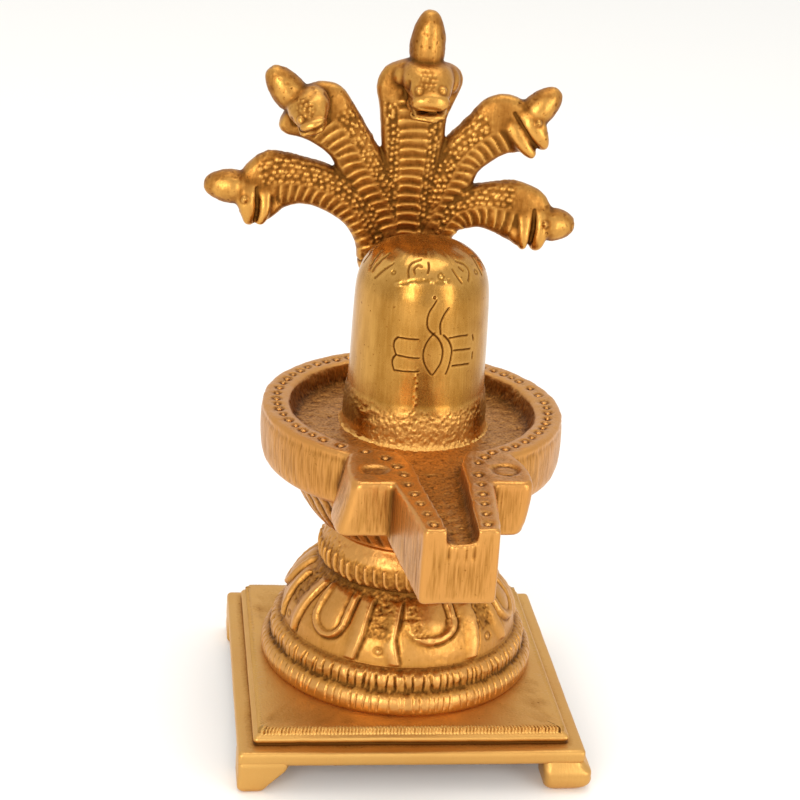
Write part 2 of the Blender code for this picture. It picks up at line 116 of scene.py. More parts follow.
def gridFaces(rows, columns, start=0, wrap=True):
    r = np.arange(rows - 1)[:, None] * columns
    c = np.arange(columns if wrap else columns - 1)[None, :]
    d = (c + 1) % columns
    quads = np.stack([r + c, r + d, r + d + columns, r + c + columns], axis=-1)
    return (quads.reshape(-1, 4) + start).tolist()


def zipFaces(low, high):
    # joins two rings that have different numbers of points
    n, m, i, j, faces = len(low), len(high), 0, 0, []
    while i < n or j < m:
        if j == m or (i < n and (i + 1) / n <= (j + 1) / m):
            faces.append([low[i], low[(i + 1) % n], high[j % m]])
            i += 1
        else:
            faces.append([low[i % n], high[(j + 1) % m], high[j]])
            j += 1
    return faces


class Shell:
    # points and faces gathered for one mesh
    def __init__(self):
        self.points, self.faces, self.count = [], [], 0

    def grid(self, rows, wrap=True):
        start = self.count
        self.points.append(rows.reshape(-1, 3))
        self.faces += gridFaces(rows.shape[0], rows.shape[1], start, wrap)
        self.count += rows.shape[0] * rows.shape[1]
        first = list(range(start, start + rows.shape[1]))
        last = list(range(self.count - rows.shape[1], self.count))
        return first, last

    def cap(self, ring, centre, facing):
        # facing is 1 to close the top of a shape, -1 to close its bottom
        self.points.append(np.asarray([centre], float))
        for k in range(len(ring)):
            a, b = ring[k], ring[(k + 1) % len(ring)]
            self.faces.append([a, b, self.count] if facing > 0 else [b, a, self.count])
        self.count += 1

    def closed(self, rows):
        # a closed shape, turned so that its faces point outwards
        outwards = np.cross(np.roll(rows, -1, axis=1)[:-1] - rows[:-1], rows[1:] - rows[:-1])
        if ((rows[:-1] - rows.mean((0, 1))) * outwards).sum() < 0:
            rows = rows[:, ::-1]
        first, last = self.grid(rows)
        self.cap(first, rows[0].mean(0), -1)
        self.cap(last, rows[-1].mean(0), 1)

    def everything(self):
        return np.vstack(self.points), self.faces


def addMesh(name, points, faces):
    mesh = bpy.data.meshes.new(name)
    mesh.from_pydata(((np.asarray(points) + axis) / 1000).tolist(), [], faces)
    mesh.polygons.foreach_set("use_smooth", [True] * len(mesh.polygons))
    piece = bpy.data.objects.new(name, mesh)
    bpy.context.scene.collection.objects.link(piece)
    return piece


def readPoints(piece):
    co = np.empty(len(piece.data.vertices) * 3)
    piece.data.vertices.foreach_get("co", co)
    return co.reshape(-1, 3) * 1000 - axis


def readNormals(piece):
    normals = np.empty(len(piece.data.vertices) * 3)
    piece.data.vertices.foreach_get("normal", normals)
    return normals.reshape(-1, 3)


def writePoints(piece, points):
    piece.data.vertices.foreach_set("co", ((points + axis) / 1000).ravel())
    piece.data.update()


def neighbours(piece):
    ends = np.empty(len(piece.data.edges) * 2, int)
    piece.data.edges.foreach_get("vertices", ends)
    ends = ends.reshape(-1, 2)
    count = np.bincount(ends.ravel(), minlength=len(piece.data.vertices))
    return ends, np.maximum(count, 1)[:, None]


def averaged(values, ends, count, rounds, strength=1.0):
    a, b = ends.T
    size = len(values)
    for _ in range(rounds):
        total = np.stack([np.bincount(a, values[b, k], size) + np.bincount(b, values[a, k], size)
                          for k in range(values.shape[1])], axis=1)
        values = values + strength * (total / count - values)
    return values


def markSurface(piece, filed=None):
    # writes what the brass materials read: hollows and ridges, fine and broad, the broad ones painted as shade, and how
    # well it is filed, which on the lingam's collar also holds painted light
    ends, count = neighbours(piece)
    points, normals = readPoints(piece), readNormals(piece)
    fine = averaged(points, ends, count, 6)
    broad = averaged(fine, ends, count, 40)
    # broadRelief is negative in broad recesses, which the materials paint darker as shade
    marks = {"fineRelief": ((points - fine) * normals).sum(1), "broadRelief": ((points - broad) * normals).sum(1)}
    if filed is not None:
        marks["filed"] = averaged(np.asarray(filed, float)[:, None], ends, count, 2)[:, 0]
    for name, values in marks.items():
        piece.data.attributes.new(name, "FLOAT", "POINT").data.foreach_set("value", values.astype(np.float32))


def applyModifiers(piece):
    graph = bpy.context.evaluated_depsgraph_get()
    mesh = bpy.data.meshes.new_from_object(piece.evaluated_get(graph))
    piece.modifiers.clear()
    piece.data = mesh
    mesh.polygons.foreach_set("use_smooth", [True] * len(mesh.polygons))


def turnedPoints(profile, azimuth, height=0.0):
    # a profile of (radius, z) turned round the axis; azimuth runs from -y towards +x
    r, z = profile[:, 0], profile[:, 1]
    dr, dz = np.gradient(r), np.gradient(z)
    length = np.hypot(dr, dz)
    out, rise = (dz / length)[:, None], (-dr / length)[:, None]
    reach = r[:, None] + out * height
    return np.stack([reach * np.sin(azimuth), -reach * np.cos(azimuth), z[:, None] + rise * height + 0 * azimuth], axis=-1)


def turns(columns):
    return np.linspace(-math.pi, math.pi, columns, endpoint=False)[None, :]


def between(angle, target):
    # signed difference of two angles
    return (angle - target + math.pi) % (2 * math.pi) - math.pi


# plinth

plinth = {
    "halfWidth": 38.0, "front": -40.0, "back": 34.2,
    "teethPerSide": 86, "pointsPerTooth": 4, "cornerPoints": 9, "cornerRadius": 0.9,
    "toothDepth": 0.65,
    # rows up the edge of the plate and slab: (inset from the plate's edge, z)
    "edge": [(14.0, 6.9), (2.2, 6.75), (1.0, 6.6), (0.35, 6.68), (0.06, 7.05), (0.0, 7.7), (0.0, 8.7), (0.05, 9.3), (0.3, 9.68),
                  (0.85, 9.8), (2.0, 9.78), (3.2, 9.74), (3.75, 9.8), (3.95, 10.05), (3.72, 10.3), (3.42, 10.55), (3.3, 10.9),
                  (3.36, 11.3), (3.62, 11.62), (4.1, 11.8), (4.28, 12.0), (4.3, 12.25), (4.3, 12.9), (4.42, 13.2), (4.75, 13.4),
                  (5.6, 13.42), (7.2, 13.4), (9.5, 13.4), (13.0, 13.4), (20.0, 13.4)],
    "feet": [   # corner x, corner y, inward directions, toe width, top width, depth, flare
        (-38.0, -40.0, 1, 1, 6.0, 11.0, 9.0, 0.0), (-38.0, 34.2, 1, -1, 6.0, 11.0, 9.0, 0.0),
        (38.0, 34.2, -1, -1, 6.0, 11.0, 9.0, 0.0), (38.0, -40.0, -1, 1, 8.6, 9.2, 9.0, 1.75),
    ],
}


def outlinePoint(inset, side, share):
    # share 0 to 1 along one side, corner arcs left out; sides run front, right, back, left
    backInset = np.where(inset < 4.3, inset * 0.605, inset - 1.7)
    radius = plinth["cornerRadius"]
    x1, y0, y1 = plinth["halfWidth"] - inset, plinth["front"] + inset, plinth["back"] - backInset
    along = [x1 - radius, (y1 - y0) / 2 - radius][side % 2]
    middle = (y0 + y1) / 2
    run = -along + 2 * along * share
    return [(run, y0 + 0 * run), (x1 + 0 * run, middle + run), (-run, y1 + 0 * run), (-x1 + 0 * run, middle - run)][side]


def plinthRow(inset):
    xs, ys, teeth = [], [], []
    straight = plinth["teethPerSide"] * plinth["pointsPerTooth"]
    for side in range(4):
        x, y = outlinePoint(inset, side, np.linspace(0, 1, straight + 1))
        xs.append(x)
        ys.append(y)
        teeth.append((np.arange(straight + 1) % plinth["pointsPerTooth"] < 2).astype(float))
        endX, endY = outlinePoint(inset, side, np.array([1.0]))
        turn = (side - 1) * math.pi / 2 + np.linspace(0, math.pi / 2, plinth["cornerPoints"] + 2)[1:-1]
        radius = plinth["cornerRadius"]
        startTurn = (side - 1) * math.pi / 2
        centreX, centreY = endX - radius * math.cos(startTurn), endY - radius * math.sin(startTurn)
        xs.append(centreX + radius * np.cos(turn))
        ys.append(centreY + radius * np.sin(turn))
        teeth.append(np.zeros(plinth["cornerPoints"]))
    return np.concatenate(xs), np.concatenate(ys), np.concatenate(teeth)


def buildPlinth():
    shell = Shell()
    rows = []
    for inset, z in plinth["edge"]:
        x, y, teeth = plinthRow(inset)
        row = np.stack([x, y, np.full_like(x, z)], axis=1)
        inTeeth = float(ease(12.05, 12.3, z) * (inset < 5.2))
        outward = np.stack([x / 36, (y + 2.9) / 36], axis=1)
        outward = np.where(np.abs(outward) >= np.abs(outward).max(1, keepdims=True), np.sign(outward), 0)
        uneven = 0.75 + 0.5 * hashed(np.stack([np.arange(len(x)) // 4, np.zeros(len(x), int), np.zeros(len(x), int)], axis=1), 5)
        cutIn = plinth["toothDepth"] * inTeeth * (1 - teeth) * uneven
        row[:, :2] -= outward * cutIn[:, None]
        rows.append(row)
    rows = np.array(rows)
    wobble = 0.10 * rough(rows, 14.0, 11) + 0.04 * grain(rows, 2.2, 12)
    rows[..., 2] += np.where(rows[..., 2] > 7.0, wobble, 0.5 * wobble)
    rows[..., 0] *= 1 - 0.0016 * (0.5 + 0.5 * grain(rows, 9.0, 13))
    rows[..., 1] = -2.9 + (rows[..., 1] + 2.9) * (1 - 0.0016 * (0.5 + 0.5 * grain(rows, 11.0, 14)))
    first, last = shell.grid(rows)
    shell.cap(first, rows[0].mean(0), -1)
    shell.cap(last, rows[-1].mean(0), 1)
    for k, foot in enumerate(plinth["feet"]):
        addFoot(shell, *foot, k)
    points, faces = shell.everything()
    return addMesh("plinth", points, faces)


def addFoot(shell, cornerX, cornerY, inX, inY, toe, top, depth, flare, seed):
    levels = [(0.0, 1.1), (0.12, 0.75), (0.5, 0.3), (1.3, 0.0), (2.4, 0.0), (3.6, 0.0), (4.8, 0.0), (5.8, 0.0), (6.8, 0.0),
              (7.6, 0.2)]
    rows = []
    for z, tuck in levels:
        width = toe + (top - toe) * ease(0.0, 1.0, z / 6.6) if flare == 0 else toe + (top - toe) * z / 6.6
        swell = flare * float(ease(0.2, 2.2, z) * (1 - ease(4.4, 6.7, z)) * 0.9 + 0.1 * (z < 6.0))
        x0, x1 = -swell + tuck, width - tuck
        y0, y1 = -0.6 * swell + tuck, depth - tuck
        radius = 1.1 if flare == 0 else 2.0
        ring = []
        for cx, cy, start in ((x0 + radius, y0 + radius, 180), (x1 - radius, y0 + radius, 270), (x1 - radius, y1 - radius, 0),
                              (x0 + radius, y1 - radius, 90)):
            for turn in np.radians(np.linspace(start, start + 90, 8)):
                ring.append((cx + radius * math.cos(turn), cy + radius * math.sin(turn)))
        ring = np.array(ring)
        rows.append(np.column_stack([cornerX + inX * ring[:, 0], cornerY + inY * ring[:, 1], np.full(len(ring), z)]))
    rows = np.array(rows)
    if inX * inY < 0:
        rows = rows[:, ::-1]
    fine = np.stack([curveThrough(rows[:, k], 26) for k in range(rows.shape[1])], axis=1)
    uneven = np.stack([rough(fine, 1.6, 40 + seed), rough(fine, 1.6, 50 + seed)], axis=-1)
    fine[..., :2] += 0.10 * uneven * ease(0.0, 0.6, fine[..., 2])[..., None]
    fine = np.clip(fine, (-37.99, -60.0, 0.0), (39.88, 34.18, 20.0))
    shell.closed(fine)


# lotus bell: two notched rings, a bell of petals, and a band of reeds

bell = {
    "ring": [(29.9, 12.9), (30.6, 13.3), (31.1, 14.0), (31.35, 15.2), (31.2, 16.5), (30.7, 17.5), (29.95, 18.2), (29.35, 18.6),
             (29.25, 19.4), (29.3, 20.6), (29.05, 21.6), (28.4, 22.4), (27.6, 22.75), (27.15, 23.0), (26.9, 23.3)],
    "dome": [(26.9, 23.3), (26.85, 23.7), (26.75, 24.3), (26.4, 26.2), (25.7, 28.0), (24.8, 29.8), (23.7, 31.5), (22.3, 33.1),
             (20.7, 34.6), (19.2, 35.8), (18.3, 36.8), (18.15, 37.3)],
    "band": [(18.15, 37.3), (18.5, 37.8), (18.75, 38.4), (18.9, 39.4), (18.9, 40.8), (18.75, 42.0), (18.3, 43.3), (17.6, 44.6),
             (16.9, 45.6), (16.4, 46.25)],
    "ringColumns": 1104, "domeColumns": 552, "bandColumns": 816,
    "ringRows": 30, "domeRows": 72, "bandRows": 28,
    "lowerCuts": 110, "upperCuts": 107, "reeds": 51,
    # petals: azimuth, half width left and right, line width left and right, z of the bottom of the line
    "petals": [(-45, 10.3, 8.4, 1.7, 1.5, 27.2), (11, 11.4, 12.4, 3.6, 1.9, 29.0), (68, 9.4, 9.8, 1.8, 1.7, 27.6),
              (130, 10.2, 10.4, 1.7, 1.9, 27.9), (192, 9.8, 10.6, 2.0, 1.6, 28.3), (253, 10.6, 9.7, 1.7, 1.8, 27.4)],
    # ribs as (z, azimuth) from the top down
    "ribs": [[(35.4, -25.6), (29.6, -26.0), (24.1, -28.7)], [(35.1, -7.6), (29.2, -9.8), (23.5, -6.8)],
             [(33.8, 37.7), (29.6, 36.3), (23.9, 32.5)], [(34.8, 51.9), (30.0, 53.0), (25.0, 56.0)],
             [(35.0, -63.2), (29.6, -66.2), (22.6, -68.0)], [(34.0, -84.6), (29.7, -84.9), (24.0, -83.0)],
             [(35.0, 86.0), (29.5, 88.0), (23.5, 86.5)], [(35.0, 110.0), (29.5, 108.5), (23.8, 111.0)],
             [(35.0, 149.0), (29.6, 151.0), (23.6, 149.0)], [(35.0, 173.0), (29.6, 171.0), (24.0, 172.5)],
             [(35.0, 212.0), (29.5, 213.5), (23.4, 211.0)], [(35.0, 233.0), (29.6, 232.0), (23.9, 234.0)]],
    # beads between the petals as (z, azimuth)
    "beads": [(27.0, 43.6), (26.4, -16.4), (25.7, -76.5), (26.2, 98.5), (26.6, 161.0), (26.0, 223.0)],
}


def notches(azimuth, z, count, radius, width, depth, seed):
    # narrow chisel cuts at uneven places round a ring
    random = np.random.default_rng(seed)
    gaps = random.uniform(0.62, 1.38, count)
    centres = np.cumsum(gaps) / gaps.sum() * 2 * math.pi - math.pi
    total = np.zeros(np.broadcast(azimuth, z).shape)
    for centre in centres:
        slant, wide, deep = random.normal(0, 0.10), width * random.uniform(0.7, 1.35), depth * random.uniform(0.55, 1.2)
        distance = between(azimuth, centre) * radius - slant * (z - z.mean())
        total = np.maximum(total, deep * bump(distance, wide * 2))
    return total, centres


def ringHeight(azimuth, r, z):
    lower, _ = notches(azimuth, z, bell["lowerCuts"], 31.2, 0.26, 0.34, 21)
    upper, upperAt = notches(azimuth, z, bell["upperCuts"], 29.0, 0.36, 0.46, 22)
    inLower = ease(14.2, 15.2, z) * (1 - ease(17.5, 18.0, z))
    inUpper = ease(18.7, 19.2, z) * (1 - ease(22.0, 22.6, z))
    block = np.searchsorted(upperAt, np.broadcast_to(azimuth, upper.shape)) % bell["upperCuts"]
    lift = hashed(np.stack([block, 0 * block, 0 * block], axis=-1), 3) - 0.5
    place = turnedPlace(azimuth, r, z)
    broken = pits(place, 1.1, 23, 0.30)
    height = -lower * inLower + inUpper * (-upper + 0.26 * lift - 0.30 * broken * ease(0.0, 0.6, lift + 0.2))
    height += 0.12 * rough(place, 1.2, 24) * (0.30 * inLower + inUpper)
    valley = np.exp(-((z - 18.5) / 0.5) ** 2) + np.exp(-((z - 23.2) / 0.6) ** 2)
    height += valley * 0.22 * rough(place, 0.8, 25)
    filed = 0.9 * inLower * (1 - ease(0.0, 0.3, lower)) + 0.7 * inUpper * (1 - ease(0.0, 0.3,
                                                                                    upper)) * (1 - broken) + 0.3 * valley
    return height, filed


def turnedPlace(azimuth, r, z):
    return np.stack([r * np.sin(azimuth), -r * np.cos(azimuth), z + 0 * azimuth], axis=-1)


def domeHeight(azimuth, r, z):
    shape = np.broadcast(azimuth, z).shape
    place = turnedPlace(azimuth, r, z)
    height, filed = np.zeros(shape), np.full(shape, 0.85)
    top = 1 - ease(34.6, 36.4, z)
    for k, (middle, left, right, leftLine, rightLine, bottom) in enumerate(bell["petals"]):
        turn = between(azimuth, math.radians(middle))
        u = turn * r
        limb = np.where(u < 0, math.radians(left), math.radians(right)) * np.where(z > 30, r,
                                                                                   0.5 * (r + 23.6)) * (1 + 0.05 * (z - 32) / 4)
        line = np.where(u < 0, leftLine, rightLine)
        bend = bottom + 3.4
        below = np.maximum(bend - z, 0.0) * 1.16
        drop = (bend - bottom) * 1.16
        reach = np.sqrt((u / limb) ** 2 + (below / drop) ** 2)
        side = (reach - 1) * np.where(below > 0, drop, limb)
        line = line * (1 - 0.35 * ease(0, drop, below) * (line > 2))
        ridge = bump(side, line * 1.45)
        inside = 1 - ease(-line * 0.62, -line * 0.30, side)
        inside = np.where(reach < 1, inside, 0)
        height += ridge * (0.95 + 0.10 * rough(place, 1.0, 68, 2))
        height += inside * (0.22 + 0.62 * (1 - (reach / 0.9) ** 2).clip(0, 1))
        # -1 on the left of the petal, 1 on its right
        sideways = np.where(reach > 0, u / np.maximum(limb * reach, 0.1), 0)
        height -= (0.30 + 0.22 * sideways) * np.exp(-((side + line * 0.60) / 0.30) ** 2) * (0.6 + 0.6 * grain(place, 1.6, 66))
        height -= (0.26 + 0.26 * sideways) * np.exp(-((side - line * 0.66) / 0.36) ** 2) * (0.8 + 0.4 * grain(place, 1.6, 67))
        wide = (line > 2.4) * ridge
        height -= wide * (0.34 * pits(place, 0.8, 31 + k, 0.5) + 0.2)
        filed = np.where(ridge > 0.4, 0.9 - 0.6 * (line > 2.4), filed)
        filed = np.where(inside > 0.5, 0.95, filed)
        filed -= 0.4 * np.exp(-((np.abs(side) - line * 0.68) / 0.4) ** 2)
    for route in bell["ribs"]:
        zs, turnsAt = np.array(route)[::-1].T
        at = np.radians(np.interp(z, zs, turnsAt))
        u = between(azimuth, at) * r
        beyond = np.maximum(z - zs[-1], 0) + np.maximum(zs[0] - z, 0)
        swell = 1.15 + 0.35 * ease(24, 30, z)
        # each rib rises slowly on its left and drops off sharply on its right
        slope = np.where(u < 0, 1 - ease(0.0, 2.3 * swell, -u), 1 - ease(0.25, 0.8, u))
        ridge = slope * (1 - ease(0.0, 0.9, beyond))
        height += 0.80 * ridge
        height -= 0.34 * np.exp(-((u - 1.02) / 0.34) ** 2) * (beyond < 0.5) * (0.8 + 0.4 * grain(place, 1.6, 69))
        filed = np.where(ridge > 0.6, 0.95, filed)
        filed -= 0.4 * np.exp(-((u - 1.02) / 0.45) ** 2) * (beyond < 0.5)
    for z0, turn in bell["beads"]:
        distance = np.hypot(between(azimuth, math.radians(turn)) * r, (z - z0) * 1.12)
        height += 0.10 * (1 - ease(0.0, 0.62, distance)) - 0.24 * np.exp(-((distance - 0.92) / 0.26) ** 2)
        filed -= 0.35 * np.exp(-((distance - 0.92) / 0.35) ** 2)
        # as-cast ground in the upper part of the gap above each bead
        gap = np.exp(-(between(azimuth, math.radians(turn)) * r / 3.0) ** 4) * ease(27.8, 29.6, z)
        height -= gap * (0.16 + 0.30 * pits(place, 0.95, 61, 0.5) + 0.10 * rough(place, 0.6, 62, 2))
        filed = np.where(gap > 0.5, np.minimum(filed, 0.15), filed)
    height = height * top * ease(23.3, 24.2, z)
    height += 0.10 * rough(place, 1.1, 63) * (1.2 - np.clip(filed, 0, 1)) + 0.05 * rough(place, 3.6, 64, 2)
    height += 0.14 * rough(place, 0.9, 65) * ease(34.2, 36.0, z)
    filed = np.clip(filed, 0.0, 1.0) * (1 - ease(34.8, 36.2, z))
    return height, filed


def bandHeight(azimuth, r, z):
    place = turnedPlace(azimuth, r, z)
    pitch = 2 * math.pi / bell["reeds"]
    lean = 0.0045 * (z - 40.0)                                  # the reeds lean a little
    hook = np.clip((39.2 - z) / 1.3, 0, 1) ** 2 * 0.030         # and hook over at their lower ends
    phase = (azimuth + math.radians(4.0) + math.pi) / pitch + (lean - hook) / pitch
    number = np.floor(phase)
    key = np.stack([number, 0 * number, 0 * number], axis=-1).astype(np.int64)
    across = (phase - number - 0.5 + 0.20 * (hashed(key, 75) - 0.5)) * pitch * 18.9
    topAt = 41.9 + 0.9 * (hashed(key, 71) - 0.5)
    lowAt = 37.7 + 0.7 * (hashed(key, 76) - 0.5)
    reed = bump(across, 0.95) * ease(-0.3, 0.3, z - lowAt) * (1 - ease(-0.2, 0.5, z - topAt)) * (0.55 + 0.45 * hashed(key, 77))
    height = 0.55 * reed - 0.12
    above = ease(0.2, 1.0, z - topAt)
    # filed smooth above the reeds at the front left, pitted elsewhere
    smoothSide = np.exp(-(between(azimuth, math.radians(-22)) / 0.55) ** 4)
    pitted = pits(place, 0.9, 72, 0.55) * (1 - 0.9 * smoothSide * ease(42.4, 43.4, z))
    height -= above * 0.42 * pitted * (1 - ease(45.0, 46.0, z))
    height -= (1 - reed) * (1 - above) * (0.10 + 0.10 * rough(place, 0.6, 73, 2))
    height += 0.04 * rough(place, 1.1, 74)
    filed = 0.95 * reed + above * (0.25 + 0.7 * smoothSide) * (1 - pitted)
    return height, filed


def buildBell():
    shell, fileMarks, loops = Shell(), [], []
    for part, field in (("ring", ringHeight), ("dome", domeHeight), ("band", bandHeight)):
        profile = curveThrough(bell[part], bell[part + "Rows"])
        azimuth = turns(bell[part + "Columns"])
        r, z = profile[:, :1], profile[:, 1:]
        height, filed = field(azimuth, r, z)
        height = height * np.clip(np.minimum(np.arange(len(profile)), np.arange(len(profile))[::-1]) / 1.5, 0, 1)[:, None]
        loops.append(shell.grid(turnedPoints(profile, azimuth, height)))
        fileMarks.append(np.broadcast_to(filed, height.shape).ravel())
    shell.faces += zipFaces(loops[0][1], loops[1][0]) + zipFaces(loops[1][1], loops[2][0])
    shell.cap(loops[0][0], (0, 0, 12.9), -1)
    shell.cap(loops[2][1], (0, 0, 46.25), 1)
    fileMarks.append([0.5, 0.5])
    points, faces = shell.everything()
    return addMesh("lotusBell", points, faces), np.concatenate(fileMarks)


# lingam: a filed, polished shaft with its collar and engraved marks

lingam = {
    "centreX": 0.4, "columns": 330, "rows": 236,
    "profile": [(16.9, 70.6), (16.35, 71.0), (16.05, 71.7), (15.9, 72.8), (15.85, 74.2), (15.8, 75.8), (15.7, 77.2),
                (15.55, 78.6), (15.4, 79.8), (15.25, 80.8), (15.1, 83.0), (15.0, 86.0), (14.95, 89.0), (14.85, 93.0),
                (14.75, 97.0), (14.6, 101.0), (14.35, 103.8), (13.9, 105.8), (13.2, 107.6), (12.0, 109.4), (10.2, 111.0),
                (7.9, 112.1), (5.0, 112.75), (2.2, 112.97), (0.35, 113.0)],
    "lineWidth": 0.42, "lineDepth": 0.32,
    # engraved lines as (azimuth, z) points: three lines across the brow in two halves, the eye, and a flame above it
    "engraved": [
        [(-8.6, 95.6), (-17.0, 95.5), (-25.9, 95.6)], [(-25.9, 95.6), (-28.6, 94.7), (-29.2, 93.5), (-27.6, 92.2), (-26.3, 91.6)],
        [(-26.6, 91.6), (-16.0, 91.4), (-6.9, 91.4)], [(-26.9, 91.5), (-29.0, 90.6), (-29.3, 89.4), (-27.2, 88.0)],
        [(-26.0, 88.1), (-16.0, 88.2), (-6.8, 88.4)],
        [(4.2, 97.1), (0.4, 95.9), (-2.4, 94.5), (-4.0, 92.6), (-3.2, 90.8), (-0.4, 89.2), (3.4, 87.8)],
        [(1.8, 97.2), (6.8, 96.1), (10.6, 94.6), (12.4, 92.7), (11.2, 90.4), (8.0, 88.8), (4.8, 87.6)],
        [(12.1, 96.6), (16.6, 95.4), (19.6, 93.9), (20.4, 92.6), (19.6, 90.6), (18.0, 88.9), (16.3, 87.8)],
        [(17.5, 95.9), (26.0, 96.0), (36.0, 95.9)], [(42.2, 95.6), (43.6, 94.4)], [(22.4, 93.0), (32.0, 92.8), (40.0, 92.6)],
        [(43.6, 91.6), (43.4, 90.2)],
        [(21.9, 89.5), (31.0, 89.4), (39.5, 89.2)],
        [(4.6, 104.3), (1.6, 103.0), (-1.4, 101.6), (-2.6, 99.8), (-1.6, 98.2), (2.7, 96.9)],
        [(15.2, 102.6), (11.6, 101.2), (9.0, 99.5), (8.8, 98.2), (9.6, 96.8)],
    ],
    # petals and punches engraved round the shoulder: the front as seen, the rest repeated
    "shoulder": [
        [(-13.0, 111.6), (-23.0, 110.9), (-24.8, 109.9), (-22.5, 108.5)],
        [(-11.0, 110.5), (-15.5, 110.6), (-18.8, 110.0), (-17.0, 109.2)],
        [(-3.3, 111.2), (-2.9, 110.4), (-4.2, 109.5)], [(34.0, 111.2), (42.4, 110.4), (43.5, 109.2), (38.2, 107.6)],
        [(23.5, 110.0), (26.4, 108.7), (29.8, 107.5)],
        [(32.8, 110.2), (36.2, 109.5)], [(-75.1, 111.0), (-72.4, 109.8), (-69.2, 107.9)],
        [(-60.0, 111.4), (-62.0, 110.1), (-64.4, 107.8)],
        [(-44.3, 110.2), (-50.7, 108.8), (-57.3, 106.7)],
    ],
    # a row of rough beads as (azimuth, z), and round punches as (azimuth, z, radius)
    "beaded": [(-33.0, 106.7), (-19.2, 107.6), (-5.1, 108.3), (4.7, 107.9), (16.6, 108.4)],
    "punches": [(9.2, 109.0, 0.62), (-39.0, 108.8, 0.42), (54.0, 108.6, 0.5), (92.0, 108.4, 0.5), (132.0, 108.6, 0.5),
                (212.0, 108.5, 0.5)],
}
for middle in (72, 112, 152, 192, 232, 262):
    lingam["shoulder"] += [[(middle - 10, 107.6), (middle - 9, 109.3), (middle - 3, 110.9), (middle + 5, 110.6)],
                           [(middle + 9, 107.8), (middle + 8, 109.4), (middle + 2, 110.0)]]


def lineField(place, profile, lines, width):
    # 1 on the engraved lines, 0 away from them; the lines lie on the surface, so the distance is taken in space
    order = np.argsort(profile[:, 1])
    total = np.zeros(place.shape[:-1])
    for line in lines:
        route = curveThrough(np.array(line, float), 7 * len(line))
        turn, tall = np.radians(route[:, 0]), route[:, 1]
        r = np.interp(tall, profile[order, 1], profile[order, 0])
        route = np.column_stack([r * np.sin(turn), -r * np.cos(turn), tall])
        near = ((place > route.min(0) - 1.0) & (place < route.max(0) + 1.0)).all(axis=-1)
        spots = place[near]
        best = np.full(len(spots), 9.0)
        for start, end in zip(route, route[1:]):
            along = end - start
            share = np.clip((spots - start) @ along / (along @ along + 1e-9), 0, 1)
            best = np.minimum(best, np.linalg.norm(spots - start - share[:, None] * along, axis=1))
        total[near] = np.maximum(total[near], 1 - ease(0.10, 0.5, best / width))
    return total


def crowded(low, high, count, near, far, share):
    # steps from low to high that stand closer together between near and far
    grid = np.linspace(low, high, 2000)
    density = 1 + share * ease(near - 2, near, grid) * (1 - ease(far, far + 2, grid))
    total = np.cumsum(density)
    total = (total - total[0]) / (total[-1] - total[0])
    return np.interp(np.linspace(0, 1, count), total, grid)


